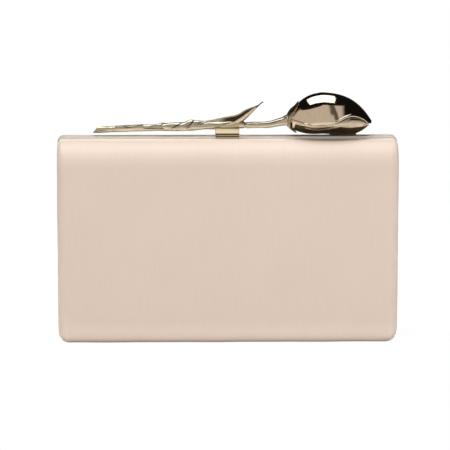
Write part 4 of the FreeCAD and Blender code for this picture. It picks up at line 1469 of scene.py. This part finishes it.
# CAD pieces whose shape is right keep it and take a finish.
finishes = [
    ("frame_metal", frameMetal, ["rear_frame", "front_frame", "clasp_base"]),
    ("frame_metal", leverGold, ["clasp_lever"]),
    ("tulip_metal", gold, ["flower_core"]),
    ("steel", steel, ["hinge_pin_left", "hinge_pin_right", "clasp_base_screws", "clasp_pivot_pin"]),
    ("shell", shell, ["rear_shell", "front_shell"]),
    ("bumper", bumper, ["flower_foot"]),
]
for slotName, material, names in finishes:
    for name in names:
        nodes[name].data.materials.clear()
        nodes[name].data.materials.append(material)
print("CAD pieces finished")


stage = {
    "floorRadius": 0.8,
    "rings": 12,
    "sides": 64,
    "fade": (0.25, 0.7),
    "floor": (0.80, 0.80, 0.80),
    "glow": 1.12,                   # the sweep's own light, as the camera sees it
    "glowShare": 0.75,
    "bounce": 0.84,                 # and how much of it reaches the case
    "shadow": (0.016, 0.0265),      # it is cut off close to the case
    "openFront": (0.02, -0.004),    # the floor clears in front of the parting, where an open half hangs
}


# Floor: a pale disc whose edge fades into the backdrop.
def makeFloor():
    ring = np.linspace(0, stage["floorRadius"], stage["rings"])[:, None]
    turn = np.linspace(0, fullTurn, stage["sides"], endpoint=False)[None, :]
    points = np.stack(np.broadcast_arrays(ring * np.cos(turn), ring * np.sin(turn), 0 * ring), -1)
    mesh = bpy.data.meshes.new("floor")
    mesh.from_pydata(points.reshape(-1, 3), [], gridFaces(*points.shape[:2], closed=True))
    material = bpy.data.materials.new("paleFloor")
    material.use_nodes = True
    maker = Maker(material.node_tree)
    place = maker.objectPlace()
    away = maker.node("ShaderNodeVectorMath", {"operation": "LENGTH"}, {0: place}, out=1)
    _, fromParting, _ = maker.split(place)
    seen = maker.node("ShaderNodeLightPath", out=0)
    bounced = maker.node("ShaderNodeLightPath", out=2)
    reaching = bounced * fromParting.math("ABSOLUTE").between(*stage["shadow"]) * stage["bounce"]
    paper = maker.node("ShaderNodeBsdfDiffuse", None, {"Color": stage["floor"]})
    glow = maker.node("ShaderNodeEmission", None, {"Strength": stage["glow"]})
    glowing = (seen + reaching) * stage["glowShare"]
    lit = maker.node("ShaderNodeMixShader", None, {0: glowing, 1: paper, 2: glow})
    clear = maker.node("ShaderNodeBsdfTransparent")
    gone = away.between(*stage["fade"]).larger(seen * fromParting.between(*stage["openFront"]))
    faded = maker.node("ShaderNodeMixShader", None, {0: gone, 1: lit, 2: clear})
    maker.node("ShaderNodeOutputMaterial", None, {"Surface": faded})
    mesh.materials.append(material)
    floor = bpy.data.objects.new("floor", mesh)
    bpy.context.scene.collection.objects.link(floor)


light = {
    # each lamp's size, place and power, and whether polished metal mirrors it
    "lamps": {
        "softbox": ((0.93, 1.0), (-0.14, 0.2, 1.13), 5.1, True),
        "topLamp": ((1.2, 0.5), (-0.03, 0.06, 1.1), 8.1, False),
        "frontFill": ((2.4, 1.0), (0.5, -1.75, 0.1), 13.7, False),
        "rearFill": ((2.0, 1.0), (-0.7, 1.9, 0.35), 11.0, False),
        "rightFill": ((1.0, 1.0), (1.9, -0.25, 0.3), 5.7, False),
        "leftFill": ((1.0, 1.0), (-1.9, 0.1, 0.3), 2.2, False),
    },
    "aim": 0.1,                     # height that the lamps are aimed at
    "tint": (1.0, 0.90, 0.82),
    "dark": 0.006,
    "front": 0.53,                  # brightness of the studio's front
    "frontFrom": (0.25, -0.05),     # it sets in here, counted towards the back
    "ceiling": (0.87, 0.83),        # ends at this height, and lower on the left
    "slope": 0.35,
    "frontRight": (0.52, 0.36),     # and ends on the right, but for what lies low
    "frontLow": (0.0, -0.12),
    "strip": (0.20, 0.045, 0.02),   # a dark strip in it: place, half width and softness
    "stripHeights": (-0.5, -0.3),
    "stripDepth": 0.85,
    "back": 0.1,                    # brightness of its back
    "backFrom": (0.05, 0.4),        # it sets in here, and ends above and on the right
    "backTop": (0.4, 0.1),
    "backRight": (0.6, 0.35),
}


def addLamp(name, size, place, power, mirrored):
    data = bpy.data.lights.new(name, "AREA")
    data.shape = "RECTANGLE"
    data.size, data.size_y = size
    data.energy = power
    lamp = bpy.data.objects.new(name, data)
    lamp.location = place
    if not mirrored:
        lamp.rotation_mode = "QUATERNION"
        aimed = Vector((0, 0, light["aim"])) - Vector(place)
        lamp.rotation_quaternion = aimed.to_track_quat("-Z", "Y")
    lamp.visible_camera = False
    lamp.visible_glossy = mirrored
    bpy.context.scene.collection.objects.link(lamp)


# Light: a softbox overhead, with a lamp by it and fills round about that polished metal doesn't mirror. Round
# them the studio is dark above and on the right, dim behind and mid grey in front; the backdrop is white.
def setLight():
    for name, lamp in light["lamps"].items():
        addLamp(name, *lamp)
    world = bpy.data.worlds.new("studio")
    world.use_nodes = True
    bpy.context.scene.world = world
    maker = Maker(world.node_tree)
    right, behind, up = maker.split(maker.node("ShaderNodeTexCoord", out=0))
    place, half, soft = light["strip"]
    strip = (right - place).math("ABSOLUTE").between(half + soft, half - soft)
    strip = strip * up.between(*light["stripHeights"])
    notRight = right.between(*light["frontRight"]).larger(up.between(*light["frontLow"]))
    sloped = up + (right * -light["slope"]).larger(0.0)
    front = behind.between(*light["frontFrom"]) * sloped.between(*light["ceiling"]) * notRight
    front = front * (1 - strip * light["stripDepth"])
    back = behind.between(*light["backFrom"]) * up.between(*light["backTop"])
    back = back * right.between(*light["backRight"])
    glow = front * light["front"] + back * light["back"] + light["dark"]
    studio = maker.node("ShaderNodeBackground", None, {"Color": light["tint"], "Strength": glow})
    backdrop = maker.node("ShaderNodeBackground", None, {"Color": (1, 1, 1), "Strength": 1.0})
    seen = maker.node("ShaderNodeLightPath", out=0)
    both = maker.node("ShaderNodeMixShader", None, {0: seen, 1: studio, 2: backdrop})
    maker.node("ShaderNodeOutputWorld", None, {"Surface": both})


makeFloor()
setLight()
print("stage lit")
